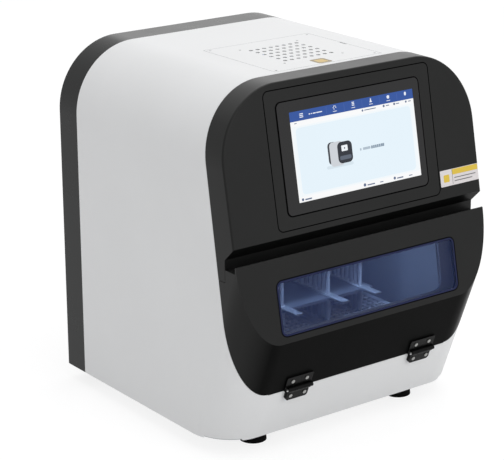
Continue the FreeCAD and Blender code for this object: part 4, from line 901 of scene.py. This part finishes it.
# Sticker on the screen cover
LABEL_LEFT = 0.1330
LABEL_RIGHT = 0.1985
LABEL_LOW = 0.1431
LABEL_HIGH = 0.1641
LABEL_SPLIT = 0.1535
LABEL_CORNER = 0.001
LABEL_THICK = 0.00015
BAND_LOW = 0.1565
BAND_SHIFT = 0.0003
BAND_TRIM = (0.0012, 0.0006)
BAND_CORNER = 0.0004
SQUARE_SIZE = 0.0095
SQUARE_DROP = 0.0005
SQUARE_CORNER = 0.0012
RULE_BREADTH = 0.0004
RULE_TRIM = 0.002
RULE_CORNER = 0.0001
LINE_LENGTH = 0.044
LINE_SHARES = (0.84, 0.70)
LINE_START = 0.003
LINE_FIRST = 0.0092
LINE_STEP = 0.0042
LINE_BREADTH = 0.0010
LINE_CORNER = 0.0003

# Patch on the top
PATCH_PLACE = (5.0e-3, -88.5e-3)
PATCH_SIZE = 0.0225
PATCH_CORNER = 0.18
INSET_SHARE = 0.62
INSET_CORNER = 0.1


def make_stickers():
    """A blank two-colour sticker on the screen cover and a small plain one on the top."""
    middle = (LABEL_LEFT + LABEL_RIGHT) / 2
    height = (LABEL_LOW + LABEL_HIGH) / 2
    paper = plastic("sticker_paper", (0.74, 0.70, 0.70), 0.32, spread=0.02, strength=0.05)
    sheet = rounded_loop(middle, height, LABEL_RIGHT - LABEL_LEFT, LABEL_HIGH - LABEL_LOW,
                         LABEL_CORNER, steps=4)
    slabs("face_sticker", [sheet], 0.0, LABEL_THICK, FACE, paper)

    yellow = plastic("sticker_yellow", (0.74, 0.52, 0.045), 0.32, spread=0.03, strength=0.05)
    band_x = (LABEL_SPLIT + LABEL_RIGHT) / 2 - BAND_SHIFT
    band_y = (BAND_LOW + LABEL_HIGH) / 2 - BAND_SHIFT
    band_width = LABEL_RIGHT - LABEL_SPLIT - BAND_TRIM[0]
    band_height = LABEL_HIGH - BAND_LOW - BAND_TRIM[1]
    band = rounded_loop(band_x, band_y, band_width, band_height, BAND_CORNER, steps=3)
    square_x = (LABEL_LEFT + LABEL_SPLIT) / 2
    square_y = height - SQUARE_DROP
    square = rounded_loop(square_x, square_y, SQUARE_SIZE, SQUARE_SIZE, SQUARE_CORNER, steps=4)
    slabs("face_sticker_colour", [band, square], LABEL_THICK, 2 * LABEL_THICK, FACE, yellow)

    ink = plastic("sticker_ink", (0.10, 0.10, 0.10), 0.4, spread=0.03, strength=0.05)
    rule_height = LABEL_HIGH - LABEL_LOW - RULE_TRIM
    lines = [rounded_loop(LABEL_SPLIT, height, RULE_BREADTH, rule_height, RULE_CORNER, steps=2)]
    for k, share in enumerate(LINE_SHARES):
        x = LABEL_SPLIT + LINE_START + LINE_LENGTH * share / 2
        y = LABEL_LOW + LINE_FIRST - LINE_STEP * k
        lines.append(rounded_loop(x, y, LINE_LENGTH * share, LINE_BREADTH, LINE_CORNER, steps=3))
    slabs("face_sticker_lines", lines, LABEL_THICK, 2 * LABEL_THICK, FACE, ink)

    x, y = PATCH_PLACE
    ochre = plastic("sticker_ochre", (0.20, 0.13, 0.02), 0.32, spread=0.03, strength=0.05)
    amber = plastic("sticker_amber", (0.56, 0.36, 0.035), 0.32, spread=0.03, strength=0.05)
    patch = rounded_loop(x, y, PATCH_SIZE, PATCH_SIZE, PATCH_SIZE * PATCH_CORNER, steps=6)
    inset_size = PATCH_SIZE * INSET_SHARE
    inset = rounded_loop(x, y, inset_size, inset_size, PATCH_SIZE * INSET_CORNER, steps=6)
    slabs("top_patch", [patch], PATCH_LOW, PATCH_THICK, TOP, ochre)
    slabs("top_patch_colour", [inset], PATCH_THICK, 1.5 * PATCH_THICK, TOP, amber)


# Studio
FLOOR_SIZE = 12.0
FLOOR_COLOUR = (0.86, 0.86, 0.86)
FLOOR_ROUGH = 0.9
FLOOR_SHADE = 0.27
FLOOR_LIFT = 0.80
AMBIENT_COLOUR = (0.985, 0.99, 1.0)
AMBIENT = 0.68
WHITE = (1.0, 1.0, 1.0)

# Lamps: name, place, target, width and height, power
LAMPS = (
    ("top_softbox", (0.25, -0.1, 3.0), (0.0, 0.0, 0.4), (2.4, 2.4), 24.0),
    ("front_softbox", (0.6, -2.6, 1.3), (0.0, 0.0, 0.25), (1.8, 1.8), 13.0),
    ("back_softbox", (1.9, 2.5, 1.5), (0.0, 0.0, 0.45), (1.4, 1.1), 2.5),
)


def background_rays(tree):
    """1 for the rays that should find the plain white background: camera, gloss and glass."""
    path = tree.nodes.new("ShaderNodeLightPath")
    total = path.outputs["Is Camera Ray"]
    for kind in ("Is Glossy Ray", "Is Transmission Ray"):
        total = reckon(tree, "MAXIMUM", total, path.outputs[kind])
    return total


def make_floor():
    """Floor that looks white to the camera but still takes the object's shadow."""
    half = FLOOR_SIZE / 2
    corners = [(-half, -half, 0), (half, -half, 0), (half, half, 0), (-half, half, 0)]
    mesh = bpy.data.meshes.new("floor")
    mesh.from_pydata(corners, [], [(0, 1, 2, 3)])
    floor = bpy.data.objects.new("floor", mesh)
    bpy.context.scene.collection.objects.link(floor)
    material, tree, shader = new_material("floor")
    shader.inputs["Base Color"].default_value = rgba(FLOOR_COLOUR)
    shader.inputs["Roughness"].default_value = FLOOR_ROUGH
    shader.inputs["Specular IOR Level"].default_value = 0.0
    pale = node(tree, "ShaderNodeBsdfDiffuse", Color=scaled(WHITE, FLOOR_SHADE))
    emission = node(tree, "ShaderNodeEmission", Strength=FLOOR_LIFT)
    added = tree.nodes.new("ShaderNodeAddShader")
    mixed = tree.nodes.new("ShaderNodeMixShader")
    tree.links.new(pale.outputs["BSDF"], added.inputs[0])
    tree.links.new(emission.outputs["Emission"], added.inputs[1])
    tree.links.new(background_rays(tree), mixed.inputs["Fac"])
    tree.links.new(shader.outputs["BSDF"], mixed.inputs[1])
    tree.links.new(added.outputs["Shader"], mixed.inputs[2])
    tree.links.new(mixed.outputs["Shader"], tree.nodes["Material Output"].inputs["Surface"])
    mesh.materials.append(material)


def make_world():
    """Even light all round, with a plain white background."""
    world = bpy.data.worlds.new("studio")
    bpy.context.scene.world = world
    world.use_nodes = True
    tree = world.node_tree
    ambient = tree.nodes["Background"]
    ambient.inputs["Color"].default_value = rgba(AMBIENT_COLOUR)
    ambient.inputs["Strength"].default_value = AMBIENT
    seen = node(tree, "ShaderNodeBackground", Color=rgba(WHITE), Strength=1.0)
    mixed = tree.nodes.new("ShaderNodeMixShader")
    tree.links.new(background_rays(tree), mixed.inputs["Fac"])
    tree.links.new(ambient.outputs["Background"], mixed.inputs[1])
    tree.links.new(seen.outputs["Background"], mixed.inputs[2])
    tree.links.new(mixed.outputs["Shader"], tree.nodes["World Output"].inputs["Surface"])


def make_lamp(name, place, target, size, power):
    """Rectangular area lamp that faces its target."""
    data = bpy.data.lights.new(name, "AREA")
    data.shape = "RECTANGLE"
    data.size = size[0]
    data.size_y = size[1]
    data.energy = power
    lamp = bpy.data.objects.new(name, data)
    lamp.rotation_mode = "QUATERNION"
    lamp.rotation_quaternion = (Vector(target) - Vector(place)).to_track_quat("-Z", "Y")
    lamp.location = place
    bpy.context.scene.collection.objects.link(lamp)


dress_nodes()
make_camera()
make_touch_glass()
make_display()
for seam_row in SEAMS:
    ring(*seam_row)
make_lips()
make_top_details()
make_stickers()
make_floor()
make_world()
for lamp_row in LAMPS:
    make_lamp(*lamp_row)
bpy.context.scene.view_settings.view_transform = "Standard"
